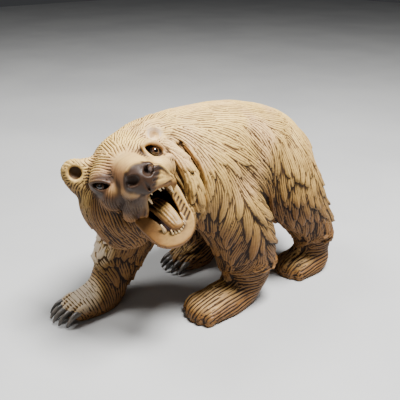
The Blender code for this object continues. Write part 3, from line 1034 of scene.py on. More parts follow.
@dataclass(frozen=True)
class Gouge:
    """The carver's way with the coat: raised locks over most of it, and fine cuts where it lies flat.

    Attributes:
        bed: How high the coat lies under a lock's tip, as a share of its height.
        proud: The heights of lock between which its cuts turn finer and shallower.
        narrow: How much finer they then are, on the coat and on the locks.
        cut_spacing: How far apart the roots of cuts are, in lengths and in pitches.
        lock_spacing: How far apart the roots of locks are, in lengths and in widths.
    """

    seed: int = 11
    tries: int = 16000
    least_lift: float = 0.5
    step: float = 5.0
    bed: float = 0.2
    coarse: float = 1.12
    proud: tuple[float, float] = (2.0, 4.0)
    narrow: tuple[float, float] = (0.2, 0.25)
    shallow: float = 0.5
    cut_spacing: tuple[float, float] = (0.4, 1.7)
    cut_half: float = 2.4
    cut_bend: float = 0.2
    lock_spacing: tuple[float, float] = (0.38, 0.54)
    lock_width: float = 1.15
    lock_bend: float = 0.5
    lock_free: float = 0.3

    def finer(self, lift: Array) -> Array:
        """How far the cuts are on their way to finer and shallower at a height of lock, from 0 to 1."""
        low, high = self.proud
        return np.clip((lift - low) / (high - low), 0, 1)

    def strokes(self, comb: Comb, free: Array, lines: Lines) -> None:
        """Lay gouge lines over the whole coat, stroke by stroke, each over the last.

        Args:
            comb: The combed skin.
            free: How free each point is, from 0 to 1.
            lines: The lines, which are changed.
        """
        length, _, lift, pitch, _ = comb.sizes.T
        narrow = 1 - self.narrow[0] * self.finer(lift)
        ahead, aside = self.cut_spacing
        for number, root in enumerate(comb.roots(self.tries, ahead * length, aside * pitch, free > 0.05)):
            own_pitch = self.coarse * pitch[root] * comb.draw(0.85, 0.3) * narrow[root]
            long, half = length[root] * comb.draw(0.8, 0.5), self.cut_half * own_pitch
            bend, tone = comb.sway(self.cut_bend), comb.draw(0.0, 1.0)
            for part in comb.lay(root, long, half, self.step, bend):
                spread = half * (1 - part.share**3) ** 0.5
                won = (np.abs(part.side) < spread) & (np.abs(part.off) < 0.5 * self.step + 0.4)
                lines.cover(part, won, number + 1, own_pitch, 0.3 + 0.4 * tone)

    def locks(self, comb: Comb, free: Array, lines: Lines) -> Array:
        """Raise the locks, each with its own lines.

        Args:
            comb: The combed skin.
            free: How free each point is to rise, from 0 to 1.
            lines: The lines, which are changed.

        Returns:
            How high each point rises.
        """
        length, width, lift, pitch, _ = comb.sizes.T
        rise = self.bed * lift
        wanted = (lift > self.least_lift) & (free > self.lock_free)
        ahead, aside = self.lock_spacing
        for number, root in enumerate(comb.roots(self.tries, ahead * length, aside * width, wanted)):
            grown = comb.draw(0.8, 0.4)
            own_width, own_lift = self.lock_width * width[root] * grown, lift[root] * comb.draw(1.2, 1.1)
            own_tone, blunt, bend = comb.draw(0.0, 1.0), comb.draw(2.2, 3.5), comb.sway(self.lock_bend)
            half = 0.5 * own_width
            own_pitch = self.coarse * pitch[root] * (1 - self.narrow[1] * self.finer(lift[root]))
            for part in comb.lay(root, length[root] * grown, 1.05 * half, self.step, bend):
                share = part.share
                spread = half * (0.5 + 0.5 * np.minimum(1, share / 0.25)) * (1 - share**blunt) ** 0.75 + 0.01
                side = part.side / spread
                up = own_lift * (0.1 + 0.9 * share**0.8) * (1 - np.minimum(1, side**2)) ** 0.35
                up[(np.abs(side) >= 1) | (np.abs(part.off) > 0.62 * self.step + 0.6)] = 0
                won = up > rise[part.near]
                rise[part.near[won]] = up[won]
                lines.cover(part, won, -number - 1, own_pitch, own_tone)
        return rise * free


@dataclass
class Skin:
    """The points and faces of the carved block, with what the finishes need to know of each point.

    Attributes:
        points: One row for each point.
        quads: Four point numbers for each face.
        marks: Named values from 0 to 1 at each point.
        lines: The gouge lines.
    """

    points: Array
    quads: Array
    marks: dict[str, Array] = field(default_factory=dict)
    lines: Lines | None = None

    def edges(self) -> Array:
        """Pairs of joined points, each once."""
        pairs = np.concatenate([self.quads[:, [k, (k + 1) % 4]] for k in range(4)])
        pairs = np.sort(pairs, 1).astype(np.int64)
        keys = np.unique(pairs[:, 0] * len(self.points) + pairs[:, 1])
        return np.stack([keys // len(self.points), keys % len(self.points)], 1)

    def spread(self, values: Array, edges: Array, rounds: int) -> Array:
        """Values at the points, each evened out with its neighbours for some rounds."""
        one, two = edges.T
        rows = len(self.points)
        count = np.bincount(one, minlength=rows) + np.bincount(two, minlength=rows)
        flat = values.reshape(rows, -1).astype(float)
        for _ in range(rounds):
            total = np.empty_like(flat)
            for k in range(flat.shape[1]):
                total[:, k] = np.bincount(one, flat[two, k], rows) + np.bincount(two, flat[one, k], rows)
            flat = 0.5 * flat + 0.5 * total / np.maximum(count, 1)[:, None]
        return flat.reshape(values.shape)

    def normals(self) -> Array:
        """The way out of the skin at each point."""
        corner = self.points[self.quads]
        face = np.cross(corner[:, 2] - corner[:, 0], corner[:, 3] - corner[:, 1])
        total = np.zeros_like(self.points)
        for k in range(3):
            for column in range(4):
                total[:, k] += np.bincount(self.quads[:, column], face[:, k], len(self.points))
        return total / np.maximum(np.linalg.norm(total, axis=1), TINY)[:, None]


# -------- node trees


Value = Socket | float | int | str | tuple | Material
Inputs = dict[str | int, Value]
Kinds = dict[str, str]
Given = tuple[Socket, ...]
FLOAT, COLOUR = "NodeSocketFloat", "NodeSocketColor"
EVEN = (1.0, 1.0, 1.0)


class Bench:
    """A bench for wiring one node tree."""

    def __init__(self, tree: Tree) -> None:
        """Start on a tree."""
        self.tree = tree

    def wire(self, made: bpy.types.Node, inputs: Inputs) -> bpy.types.Node:
        """Link or set some of a node's inputs, by name or number, and return the node."""
        for key, value in inputs.items():
            if isinstance(value, Socket):
                self.tree.links.new(value, made.inputs[key])
            else:
                made.inputs[key].default_value = value
        return made

    def node(self, kind: str, inputs: Inputs | None = None, **settings: object) -> bpy.types.Node:
        """Add a node.

        Args:
            kind: The node's type.
            inputs: A value, or a socket to link from, for inputs by name or number.
            settings: The node's own settings.

        Returns:
            The node.
        """
        made = self.tree.nodes.new(kind)
        for name, setting in settings.items():
            setattr(made, name, setting)
        return self.wire(made, inputs or {})

    def group(self, tree: Tree, **inputs: Value) -> bpy.types.NodeOutputs:
        """What a node group gives for some inputs."""
        return self.node("ShaderNodeGroup", inputs, node_tree=tree).outputs

    def math(self, operation: str, *values: Value, clamp: bool = False) -> Socket:
        """The result of a sum on values."""
        made = self.node("ShaderNodeMath", dict(enumerate(values)), operation=operation, use_clamp=clamp)
        return made.outputs[0]

    def times(self, one: Value, two: Value) -> Socket:
        """One value times another."""
        return self.math("MULTIPLY", one, two)

    def plus(self, one: Value, two: Value) -> Socket:
        """One value and another."""
        return self.math("ADD", one, two)

    def less(self, one: Value, two: Value) -> Socket:
        """One value less another."""
        return self.math("SUBTRACT", one, two)

    def mix(self, share: Value, one: Value, two: Value, blend: str = "MIX") -> Socket:
        """Two colours mixed by share. The node's sockets for colours are 6 and 7, and 2 on the way out."""
        made = self.node("ShaderNodeMix", {0: share, 6: one, 7: two}, data_type="RGBA", blend_type=blend)
        return made.outputs[2]

    def step(self, value: Value, low: float, high: float) -> Socket:
        """A value stretched so that low gives 0 and high gives 1, and held between them."""
        made = self.node("ShaderNodeMapRange", {0: value, 1: low, 2: high}, interpolation_type="SMOOTHSTEP")
        return made.outputs[0]

    def span(self, value: Value, least: float, most: float) -> Socket:
        """A value that runs from least to most as another runs from 0 to 1."""
        return self.node("ShaderNodeMapRange", {0: value, 3: least, 4: most}).outputs[0]

    def mark(self, name: str) -> Socket:
        """A named value that the skin carries."""
        return self.node("ShaderNodeAttribute", attribute_name=name).outputs["Fac"]

    def stretched(self, stretch: Point) -> Socket:
        """The object's own space, stretched along some axes."""
        place = self.node("ShaderNodeTexCoord").outputs["Object"]
        return self.node("ShaderNodeMapping", {"Vector": place, "Scale": stretch}).outputs[0]

    def cloud(self, place: Value, scale: Value, detail: float) -> Socket:
        """Cloudy values from 0 to 1."""
        noise = self.node("ShaderNodeTexNoise", {"Vector": place, "Scale": scale, "Detail": detail})
        return noise.outputs["Fac"]

    def spots(self, stretch: Point, scale: float, detail: float = 4.0) -> Socket:
        """Cloudy values from 0 to 1 in the object's own space, stretched along some axes."""
        return self.cloud(self.stretched(stretch), scale, detail)


class Kit:
    """Shader node groups that several finishes share, each built once."""

    made: dict[str, Tree] = {}

    @classmethod
    def group(cls, name: str, takes: Kinds, gives: Kinds, build: Callable) -> Tree:
        """A node group, built the first time that it is asked for.

        Args:
            name: The group's name.
            takes: The kind of each named input.
            gives: The kind of each named output.
            build: Makes the outputs from the group's bench and its input node's sockets.

        Returns:
            The group.
        """
        if name not in cls.made:
            tree = bpy.data.node_groups.new(name, "ShaderNodeTree")
            for way, kinds in (("INPUT", takes), ("OUTPUT", gives)):
                for key, kind in kinds.items():
                    tree.interface.new_socket(key, in_out=way, socket_type=kind)
            bench = Bench(tree)
            made = build(bench, tree.nodes.new("NodeGroupInput").outputs)
            bench.node("NodeGroupOutput", dict(zip(gives, made)))
            cls.made[name] = tree
        return cls.made[name]

    @classmethod
    def grain(cls) -> Tree:
        """Wood grain that runs the length of the block: a mask of its dark lines, and a height for bump."""

        def build(bench: Bench, take: bpy.types.NodeOutputs) -> Given:
            """The mask of the dark lines and the height."""
            long = bench.stretched((1.0, 0.12, 1.0))
            fine = bench.cloud(long, take["Scale"], 5.0)
            rings = bench.cloud(long, bench.times(take["Scale"], 0.16), 2.0)
            lines = bench.times(bench.step(fine, 0.42, 0.66), 0.6)
            bands = bench.times(bench.step(rings, 0.4, 0.62), 0.4)
            return bench.math("ADD", lines, bands, clamp=True), fine

        return cls.group("Wood grain", {"Scale": FLOAT}, {"Mask": FLOAT, "Height": FLOAT}, build)

    @classmethod
    def gouged(cls) -> Tree:
        """Gouge lines from the skin's own map: a mask of the grooves, and a height for bump."""

        def build(bench: Bench, take: bpy.types.NodeOutputs) -> Given:
            """The mask of the grooves and the height."""
            sway = bench.times(bench.less(bench.spots(EVEN, 160.0, 2.0), 0.5), 0.5)
            place = bench.plus(take["Line"], sway)
            waves = (bench.math("SINE", bench.times(place, turns * math.pi)) for turns in (1, 3.1))
            broad, fine = (bench.math("ABSOLUTE", wave) for wave in waves)
            groove = bench.math("POWER", bench.less(1.0, broad), 2.2)
            height = bench.plus(bench.times(broad, 0.75), bench.times(fine, 0.25))
            return bench.times(groove, take["Free"]), bench.times(height, take["Free"])

        gives = {"Groove": FLOAT, "Height": FLOAT}
        return cls.group("Gouge lines", {"Line": FLOAT, "Free": FLOAT}, gives, build)

    @classmethod
    def stained(cls) -> Tree:
        """Stain that stays in the cuts and is rubbed off the ridges, with the painted shade of the broad
        hollows, which its depth also carries.
        """

        def build(bench: Bench, take: bpy.types.NodeOutputs) -> Given:
            """The colour and how worn it is."""
            uneven = bench.less(bench.spots(EVEN, 45.0), 0.5)
            depth = bench.plus(take["Depth"], bench.times(uneven, 0.35))
            body = bench.mix(bench.step(depth, 0.62, 0.3), take["Wood"], take["Ridge"])
            body = bench.mix(bench.step(depth, 0.5, 0.86), body, take["Cut"])
            return body, bench.less(1.0, bench.step(depth, 0.35, 0.75))

        takes = {"Depth": FLOAT, "Ridge": COLOUR, "Wood": COLOUR, "Cut": COLOUR}
        return cls.group("Stain and painted shade", takes, {"Color": COLOUR, "Worn": FLOAT}, build)


class Dressing(Bench):
    """A bench for wiring one material."""

    def __init__(self, name: str) -> None:
        """Start a material."""
        self.material = bpy.data.materials.new(name)
        self.material.use_nodes = True
        super().__init__(self.material.node_tree)

    def done(self, colour: Value, rough: Value, **rest: Value) -> Material:
        """The material, wired up. The shader's other inputs have _ for each space in their names."""
        inputs = {"Base Color": colour, "Roughness": rough}
        inputs |= {name.replace("_", " "): value for name, value in rest.items()}
        self.wire(self.tree.nodes["Principled BSDF"], inputs)
        return self.material


Colour = tuple[float, float, float, float]


def paint(red: float, green: float, blue: float) -> Colour:
    """An opaque colour."""
    return (red, green, blue, 1.0)


@dataclass(frozen=True)
class WoodFinish:
    """Stained and rubbed wood, coloured by the marks and the lines of the skin, which paint light and shade
    in places.

    Attributes:
        ridge: The wood on the ridges.
        wood: The wood between.
        cut: The stain in the cuts.
        rubbed_and_lit_colours: The same three, paler, where the wood is rubbed and where painted light from
            above falls.
        rosy: The pink wood that shows in patches.
        dyed_and_shaded: The red-brown polish of the muzzle, which also paints shade on the right side of the
            face.
        bleached_and_lit: The grey-white of the right forepaw's knuckles, some wear with painted sheen, also
            the painted light in the left ear's hollow.
        blacked_and_shaded: The black stain on the nose, also used as painted shade on the right of the muzzle
            and round the right eye.
        gloss: Roughness on the ridges and in the cuts.
        lined: How dark the stain in the fine lines is.
        uneven: How much the tone of one stroke differs from the next.
        grained: How dark the grain's own lines are.
        patched: How strongly the pink wood shows.
    """

    name: str = "carved wood"
    ridge: Colour = paint(0.205, 0.092, 0.022)
    wood: Colour = paint(0.09, 0.039, 0.01)
    cut: Colour = paint(0.016, 0.006, 0.002)
    rubbed_and_lit_colours: tuple[Colour, Colour, Colour] = (
        paint(0.8, 0.54, 0.165),
        paint(0.42, 0.25, 0.07),
        paint(0.1, 0.05, 0.016),
    )
    rosy: Colour = paint(0.6, 0.36, 0.23)
    dyed_and_shaded: Colour = paint(0.27, 0.12, 0.065)
    bleached_and_lit: Colour = paint(0.66, 0.54, 0.41)
    blacked_and_shaded: Colour = paint(0.03, 0.0125, 0.0045)
    gloss: tuple[float, float] = (0.5, 0.7)
    shine: float = 0.3
    bump: float = 0.8
    lined: float = 0.46
    uneven: float = 0.36
    grained: float = 0.28
    patched: float = 0.6

    def material(self) -> Material:
        """The finish as a material."""
        bench = Dressing(self.name)
        rubbed_and_lit, stain = bench.mark("rubbed_and_lit"), bench.mark("stain")
        grain = bench.group(Kit.grain(), Scale=260.0)
        drawn = bench.node("ShaderNodeUVMap", uv_map="lines").outputs["UV"]
        line, tone, _ = bench.node("ShaderNodeSeparateXYZ", {0: drawn}).outputs
        gouged = bench.group(Kit.gouged(), Line=line, Free=bench.mark("free"))
        # The stain mark holds stain in the cuts and painted shade in the broad hollows.
        depth = bench.plus(stain, bench.times(bench.less(0.5, tone), self.uneven))
        depth = bench.plus(depth, bench.times(gouged["Groove"], self.lined))
        # Lit and shaded copies of the wood, mixed by the rubbed_and_lit mark: partly real rubbing, partly
        # painted light.
        body = zip((self.ridge, self.wood, self.cut), self.rubbed_and_lit_colours)
        ridge, wood, cut = (bench.mix(rubbed_and_lit, fresh, rubbed) for fresh, rubbed in body)
        stained = bench.group(Kit.stained(), Depth=depth, Ridge=ridge, Wood=wood, Cut=cut)
        worn = stained["Worn"]
        grain_lines = bench.times(grain["Mask"], self.grained)
        colour = bench.mix(grain_lines, stained["Color"], self.wood, "MULTIPLY")
        patch = bench.times(bench.times(bench.step(bench.spots(EVEN, 14.0, 2.0), 0.46, 0.72), worn), rubbed_and_lit)
        colour = bench.mix(bench.times(patch, self.patched), colour, self.rosy)
        # Red-brown polish, and painted shade on the right of the face.
        red = bench.mix(bench.step(stain, 0.25, 0.8), self.dyed_and_shaded, self.cut)
        colour = bench.mix(bench.mark("dye_and_shade"), colour, red)
        # Pale grey: some wear with painted sheen on the right forepaw, and painted light in the left ear's
        # hollow.
        grey = bench.times(bench.mark("bleach_and_light"), bench.step(stain, 0.62, 0.3))
        colour = bench.mix(grey, colour, self.bleached_and_lit)
        # The black stain on the nose, and painted shade on the right of the muzzle and round the right eye.
        bare = bench.less(1.0, bench.mark("black_and_shade"))
        colour = bench.mix(bench.less(1.0, bench.times(bare, bare)), colour, self.blacked_and_shaded)
        height = bench.plus(gouged["Height"], bench.times(grain["Height"], 0.4))
        ripple = bench.node("ShaderNodeBump", {"Strength": self.bump, "Distance": 0.0009, "Height": height})
        rough = bench.span(worn, self.gloss[1], self.gloss[0])
        return bench.done(colour, rough, Normal=ripple.outputs[0], Specular_IOR_Level=self.shine)


@dataclass(frozen=True)
class PlainFinish:
    """A finish of its own colour with cloudy wear, for the mouth, teeth, claws and floor.

    Attributes:
        light: The colour where it is worn.
        dark: The colour where it isn't.
        rough: The least and the most roughness.
        coat: How much lacquer lies on it.
        scale: How fine the wear is.
        stretch: How the wear is stretched along the axes.
        bump: How far the wear stands up, in metres.
    """

    name: str
    light: Colour
    dark: Colour
    rough: tuple[float, float] = (0.3, 0.5)
    coat: float = 0.0
    scale: float = 90.0
    stretch: Point = (1.0, 1.0, 1.0)
    bump: float = 0.0004

    def material(self) -> Material:
        """The finish as a material."""
        bench = Dressing(self.name)
        wear = bench.spots(self.stretch, self.scale, 5.0)
        colour = bench.mix(bench.step(wear, 0.35, 0.65), self.dark, self.light)
        ripple = bench.node("ShaderNodeBump", {"Strength": 0.5, "Distance": self.bump, "Height": wear})
        rough = bench.span(wear, *self.rough)
        return bench.done(colour, rough, Normal=ripple.outputs[0], Coat_Weight=self.coat, Coat_Roughness=0.08)


@dataclass(frozen=True)
class EyeFinish:
    """Dark glass: a pupil in a brown iris, which is a ring about the way that the eye looks."""

    name: str = "eye glass"
    pupil: Colour = paint(0.002, 0.002, 0.002)
    iris: Colour = paint(0.045, 0.018, 0.006)
    rim: Colour = paint(0.006, 0.004, 0.003)

    def material(self) -> Material:
        """The finish as a material. The skin's mark "gaze" is 1 in the middle of the eye."""
        bench = Dressing(self.name)
        edge = bench.plus(bench.mark("gaze"), bench.times(bench.spots(EVEN, 900.0), 0.04))
        colour = bench.mix(bench.step(edge, 0.72, 0.8), self.rim, self.iris)
        colour = bench.mix(bench.step(edge, 0.93, 0.96), colour, self.pupil)
        rough = bench.span(bench.spots(EVEN, 300.0), 0.03, 0.07)
        return bench.done(colour, rough, Coat_Weight=1.0, Coat_Roughness=0.02)


FINISHES: dict[Region, WoodFinish | PlainFinish] = {
    Region.COAT: WoodFinish(),
    Region.SKIN: WoodFinish(name="rubbed wood", gloss=(0.48, 0.66), shine=0.35, bump=0.6),
    Region.MOUTH: PlainFinish("mouth stain", paint(0.07, 0.017, 0.01), paint(0.02, 0.005, 0.003), (0.5, 0.7)),
    Region.TOOTH: PlainFinish(
        "tooth", paint(0.62, 0.45, 0.22), paint(0.36, 0.22, 0.1), coat=0.2, scale=120.0
    ),
    Region.CLAW: PlainFinish(
        "claw stain", paint(0.13, 0.11, 0.09), paint(0.022, 0.018, 0.015), (0.3, 0.55),
        coat=0.2, scale=120.0, stretch=(1, 0.3, 1),
    ),  # fmt: skip
}
SOCKETS = {int: "NodeSocketInt", float: FLOAT, tuple: "NodeSocketVector", Material: "NodeSocketMaterial"}


# -------- repeated teeth and claws


class Repeat:
    """A Geometry Nodes tree that sets one shape out over and over, ending in plain mesh."""

    def __init__(self, name: str, **inputs: Value) -> None:
        """Start a tree.

        Args:
            name: The tree's name.
            inputs: The value of each named input.
        """
        self.tree = bpy.data.node_groups.new(name, "GeometryNodeTree")
        self.tree.interface.new_socket("Geometry", in_out="INPUT", socket_type="NodeSocketGeometry")
        self.tree.interface.new_socket("Geometry", in_out="OUTPUT", socket_type="NodeSocketGeometry")
        self.values = {}
        for key, value in inputs.items():
            socket = self.tree.interface.new_socket(key, in_out="INPUT", socket_type=SOCKETS[type(value)])
            self.values[socket.identifier] = value
        self.bench = Bench(self.tree)
        self.take = self.tree.nodes.new("NodeGroupInput").outputs

    def end(self, instances: Socket) -> None:
        """Realise the instances, set their material and hand them out."""
        real = self.bench.node("GeometryNodeRealizeInstances", {0: instances}).outputs[0]
        dressed = {"Geometry": real, "Material": self.take["Material"]}
        whole = self.bench.node("GeometryNodeSetMaterial", dressed)
        self.bench.node("NodeGroupOutput", {0: whole.outputs[0]})

    def made(self, obj: Object) -> Object:
        """The plain mesh that the tree makes of obj."""
        modifier = obj.modifiers.new("Repeat", "NODES")
        modifier.node_group = self.tree
        for identifier, value in self.values.items():
            modifier[identifier] = value
        return evaluated(obj)


@dataclass(frozen=True)
class ToothRow:
    """A row of teeth along a gum.

    Attributes:
        gum: The joints of the gum's edge in the head's frame.
        width: How wide a tooth is at the gum.
        tall: How tall it is.
        blunt: The width of its tip as a share of its foot.
        heading: The way that the teeth point, in the head's frame.
        uneven: How much shorter the shortest tooth is.
    """

    name: str
    gum: tuple[Point, ...]
    count: int
    width: float
    tall: float
    blunt: float
    heading: Point
    uneven: float = 0.3

    def mesh(self, head: Place, material: Material) -> Object:
        """The teeth as one mesh."""
        curve = bpy.data.curves.new(self.name, "CURVE")
        curve.dimensions = "3D"
        spline = curve.splines.new("POLY")
        spline.points.add(len(self.gum) - 1)
        for knot, spot in zip(spline.points, head.outside(np.array(self.gum, float)) * MM):
            knot.co = (*spot, 1.0)
        heading = head.along(np.array(self.heading, float))
        repeat = Repeat(
            "Teeth along a gum",
            Count=self.count,
            Width=self.width * MM,
            Tall=self.tall * MM,
            Blunt=self.blunt,
            Heading=tuple(heading / np.linalg.norm(heading)),
            Uneven=self.uneven,
            Seed=self.count,
            Material=material,
        )
        bench, take = repeat.bench, repeat.take
        foot = bench.times(take["Width"], 0.5)
        sizes = {"Radius Top": bench.times(foot, take["Blunt"]), "Radius Bottom": foot, "Depth": take["Tall"]}
        cone = bench.node("GeometryNodeMeshCone", {"Vertices": 8, "Side Segments": 3, **sizes})
        points = bench.node("GeometryNodeCurveToPoints", {"Curve": take["Geometry"], "Count": take["Count"]})
        turns = {"Rotation": points.outputs["Rotation"], "Vector": take["Heading"]}
        turn = bench.node("FunctionNodeAlignRotationToVector", turns, axis="Z")
        grown = bench.node("FunctionNodeRandomValue", {"Seed": take["Seed"]}, data_type="FLOAT")
        least, most, *_ = (socket for socket in grown.inputs if socket.type == "VALUE")
        bench.tree.links.new(bench.less(1.0, take["Uneven"]), least)
        most.default_value = 1.0
        sized = next(socket for socket in grown.outputs if socket.type == "VALUE")
        stood = {"Instance": cone.outputs["Mesh"], "Rotation": turn.outputs[0], "Scale": sized}
        teeth = bench.node("GeometryNodeInstanceOnPoints", {"Points": points.outputs["Points"], **stood})
        repeat.end(teeth.outputs[0])
        return repeat.made(placed(self.name, curve))


@dataclass(frozen=True)
class ClawSet:
    """The five claws of one paw, each a bent and tapered horn.

    Attributes:
        long: How long a claw is.
        width: How wide it is at its root.
        droop: How far its tip hangs.
    """

    name: str
    long: float = 22.0
    width: float = 9.4
    droop: float = 12.0

    def mesh(self, roots: Sequence[tuple[Point, float]], material: Material) -> Object:
        """The claws as one mesh.

        Args:
            roots: The root of each claw, and its turn off -Y in degrees.
            material: The claws' material.

        Returns:
            The mesh.
        """
        mesh = bpy.data.meshes.new(self.name)
        mesh.from_pydata([tuple(c * MM for c in spot) for spot, _ in roots], [], [])
        turns = mesh.attributes.new("turn", "FLOAT", "POINT")
        turns.data.foreach_set("value", [math.radians(turn) for _, turn in roots])
        long, width, droop = (size * MM for size in (self.long, self.width, self.droop))
        repeat = Repeat("Claws on toes", Long=long, Width=width, Droop=droop, Material=material)
        bench, take = repeat.bench, repeat.take
        middle = {"Y": bench.times(take["Long"], -0.62), "Z": bench.times(take["Droop"], 0.16)}
        tip = {"Y": bench.times(take["Long"], -1.0), "Z": bench.times(take["Droop"], -1.0)}
        ends = {
            "Start": (0.0, 0.004, 0.0),
            "Middle": bench.node("ShaderNodeCombineXYZ", middle).outputs[0],
            "End": bench.node("ShaderNodeCombineXYZ", tip).outputs[0],
        }
        bow = bench.node("GeometryNodeCurveQuadraticBezier", {"Resolution": 9, **ends}).outputs[0]
        along = bench.node("GeometryNodeSplineParameter").outputs["Factor"]
        taper = bench.less(1.0, bench.times(bench.math("POWER", along, 2.2), 0.72))
        half = {"Resolution": 12, "Radius": bench.times(take["Width"], 0.5)}
        ring = bench.node("GeometryNodeCurvePrimitiveCircle", half).outputs[0]
        curves = {"Curve": bow, "Profile Curve": ring, "Scale": taper, "Fill Caps": True}
        horn = bench.node("GeometryNodeCurveToMesh", curves)
        heading = bench.node("GeometryNodeInputNamedAttribute", {"Name": "turn"}).outputs[0]
        spin = bench.node("ShaderNodeCombineXYZ", {"Z": heading}).outputs[0]
        stood = {"Points": take["Geometry"], "Instance": horn.outputs[0], "Rotation": spin}
        claws = bench.node("GeometryNodeInstanceOnPoints", stood)
        repeat.end(claws.outputs[0])
        return repeat.made(placed(self.name, mesh))


# -------- the whole bear


def trunk_lies() -> list[Lie]:
    """The lie of the coat on the left of the trunk, from the neck to the rump."""
    return [
        Lie(((3, -102, 262), (31, -62, 262), (33, 0, 262), (34, 60, 252), (30, 110, 238)), 60, pitch=3.3),
        Lie(((6, -100, 262), (8, -40, 268), (8, 20, 268), (8, 90, 254), (6, 130, 232)), 60, pitch=3.3),
        Lie(((18, -28, 266), (33, 12, 261), (47, 52, 247), (52, 90, 236)), 40, 11, 0.5, 3.3, 1.0),
        Lie(((15, -91, 257), (53, -81, 238), (70, -78, 212)), 46, 11, 1.2),
        Lie(((25, -98, 249), (44, -86, 243), (59, -76, 232), (69, -76, 218)), 46, 11, 1.3),
        Lie(((43, -72, 251), (72, -54, 230), (84, -38, 197)), 60, 11, 1.6),
        Lie(((35, -40, 262), (51, -20, 253), (69, 10, 228), (74, 30, 209)), 64, 10, 1.7, 3.4, 1.3),
        Lie(((49, -65, 250), (75, -11, 212), (78, 24, 190)), 74, 12, 2.6, 3.4, 1.3),
        Lie(((57, 6, 245), (72, 7, 219), (76, 18, 206)), 50, 11, 3.0, 3.4, 1.4),
        Lie(((68, -55, 233), (75, -7, 212), (71, 41, 160)), 86, 13, 3.2, 3.4, 1.3),
        Lie(((72, -61, 227), (84, -29, 188), (92, -4, 162)), 86, 13, 3.4, 3.4, 1.3),
        Lie(((46, 36, 247), (64, 44, 228), (74, 40, 205), (72, 44, 172)), 52, 12, 3.4, 3.4, 1.4),
        Lie(((14, 35, 264), (22, 107, 246), (40, 146, 220)), 44, 12, 0.9),
        Lie(((40, 109, 237), (70, 105, 216), (85, 108, 182)), 44, 12, 3.0, 3.3, 1.3),
        Lie(((22, 142, 220), (45, 152, 200), (62, 150, 160)), 46, 12, 3.4, 3.3, 1.3),
        Lie(((4, 150, 215), (6, 176, 184), (8, 184, 150), (6, 170, 124)), 44, 12, 3.4, 3.3, 1.3),
        Lie(((44, 0, 140), (52, 24, 124), (50, 50, 124)), 44, 13, 2.6),
        Lie(((6, -60, 118), (6, 0, 113), (6, 70, 112), (6, 130, 118)), 44, 13, 1.0),
        Lie(((30, -132, 200), (38, -128, 176), (32, -118, 150)), 46, 13, 3.0),
        Lie(((4, -158, 176), (4, -148, 150), (4, -124, 132)), 46, 13, 2.4),
    ]


def foreleg_lies() -> list[Lie]:
    """The lie of the coat on the left foreleg: layers like feathers either side of a spine."""
    return [
        Lie(((66, -64, 230), (83, -38, 198), (100, -24, 162), (103, -9, 122), (103, -3, 84)), 56, 11, 3, 3.3),
        Lie(((70, -70, 222), (79, -71, 197), (82, -66, 174)), 43, 14, 4.0, 3.3),
        Lie(((83, -52, 207), (87, -57, 182), (85, -62, 156)), 43, 14, 4.2, 3.3),
        Lie(((92, -34, 180), (95, -40, 152), (86, -50, 122)), 44, 14, 4.6, 3.3),
        Lie(((100, -24, 158), (100, -28, 126), (88, -38, 92)), 42, 14, 4.6, 3.3),
        Lie(((103, -9, 122), (101, -19, 95), (89, -28, 68)), 38, 13, 4.2, 3.3),
        Lie(((66, -80, 172), (64, -72, 136), (66, -52, 98), (68, -40, 70)), 40, 14, 4.0),
        Lie(((98, -20, 172), (92, 8, 148), (76, 30, 126)), 46, 10, 4.2, 3.3),
        Lie(((102, -12, 144), (97, 12, 118), (82, 32, 98)), 42, 10, 4.2, 3.3),
        Lie(((103, -5, 112), (97, 16, 88), (84, 34, 68)), 36, 9, 3.8, 3.3),
        Lie(((60, 36, 140), (60, 44, 108), (62, 42, 76)), 38, 10, 3.8),
        Lie(((28, -50, 150), (22, -14, 112), (28, 2, 76)), 42, 13, 3.2),
        Lie(((70, 40, 50), (90, 26, 52), (99, 4, 54), (92, -20, 52), (74, -28, 52)), 60, 12, 0.4, 4.4, 1.7),
        Lie(((78, 22, 24), (93, -6, 26), (90, -44, 22), (82, -78, 16)), 76, 12, 0, 4.6, 1.8),
        Lie(((80, 6, 44), (80, -24, 40), (76, -54, 28), (72, -82, 16)), 76, 12, 0, 4.6, 1.8),
        Lie(((60, -22, 50), (60, -46, 36), (58, -72, 24), (56, -88, 10)), 70, 12, 0, 4.6, 1.8),
        Lie(((34, 4, 40), (32, -24, 28), (38, -60, 22), (42, -82, 12)), 70, 12, 0, 4.6, 1.8),
    ]


def right_foreleg_lies() -> list[Lie]:
    """The lie of the coat on the right foreleg: ragged tufts, then bold cuts across the paw."""
    made = [
        Lie(((-40, -130, 170), (-44, -140, 140), (-50, -140, 112)), 38, 14, 4.0),
        Lie(((-80, -100, 170), (-88, -104, 136), (-86, -116, 100)), 40, 14, 4.0),
        Lie(((-52, -136, 118), (-58, -148, 92), (-62, -152, 70)), 30, 17, 5.0, 4.4, 1.5),
        Lie(((-82, -116, 110), (-84, -130, 84), (-82, -140, 62)), 30, 17, 5.0, 4.4, 1.5),
        Lie(((-30, -120, 120), (-34, -134, 92), (-38, -142, 70)), 30, 14, 3.4),
        Lie(((-60, -72, 120), (-62, -84, 90), (-60, -96, 60)), 36, 12, 3.8),
    ]
    for y, high in ((-132, 62), (-150, 50), (-168, 42), (-186, 34), (-202, 26)):
        outer = ((-82, y + 10, high - 24), (-70, y, high - 4), (-54, y - 4, high))
        made.append(Lie((*outer, (-38, y, high - 10), (-29, y + 4, 8)), 60, 12, 0.0, 3.8, 1.3))
    return made


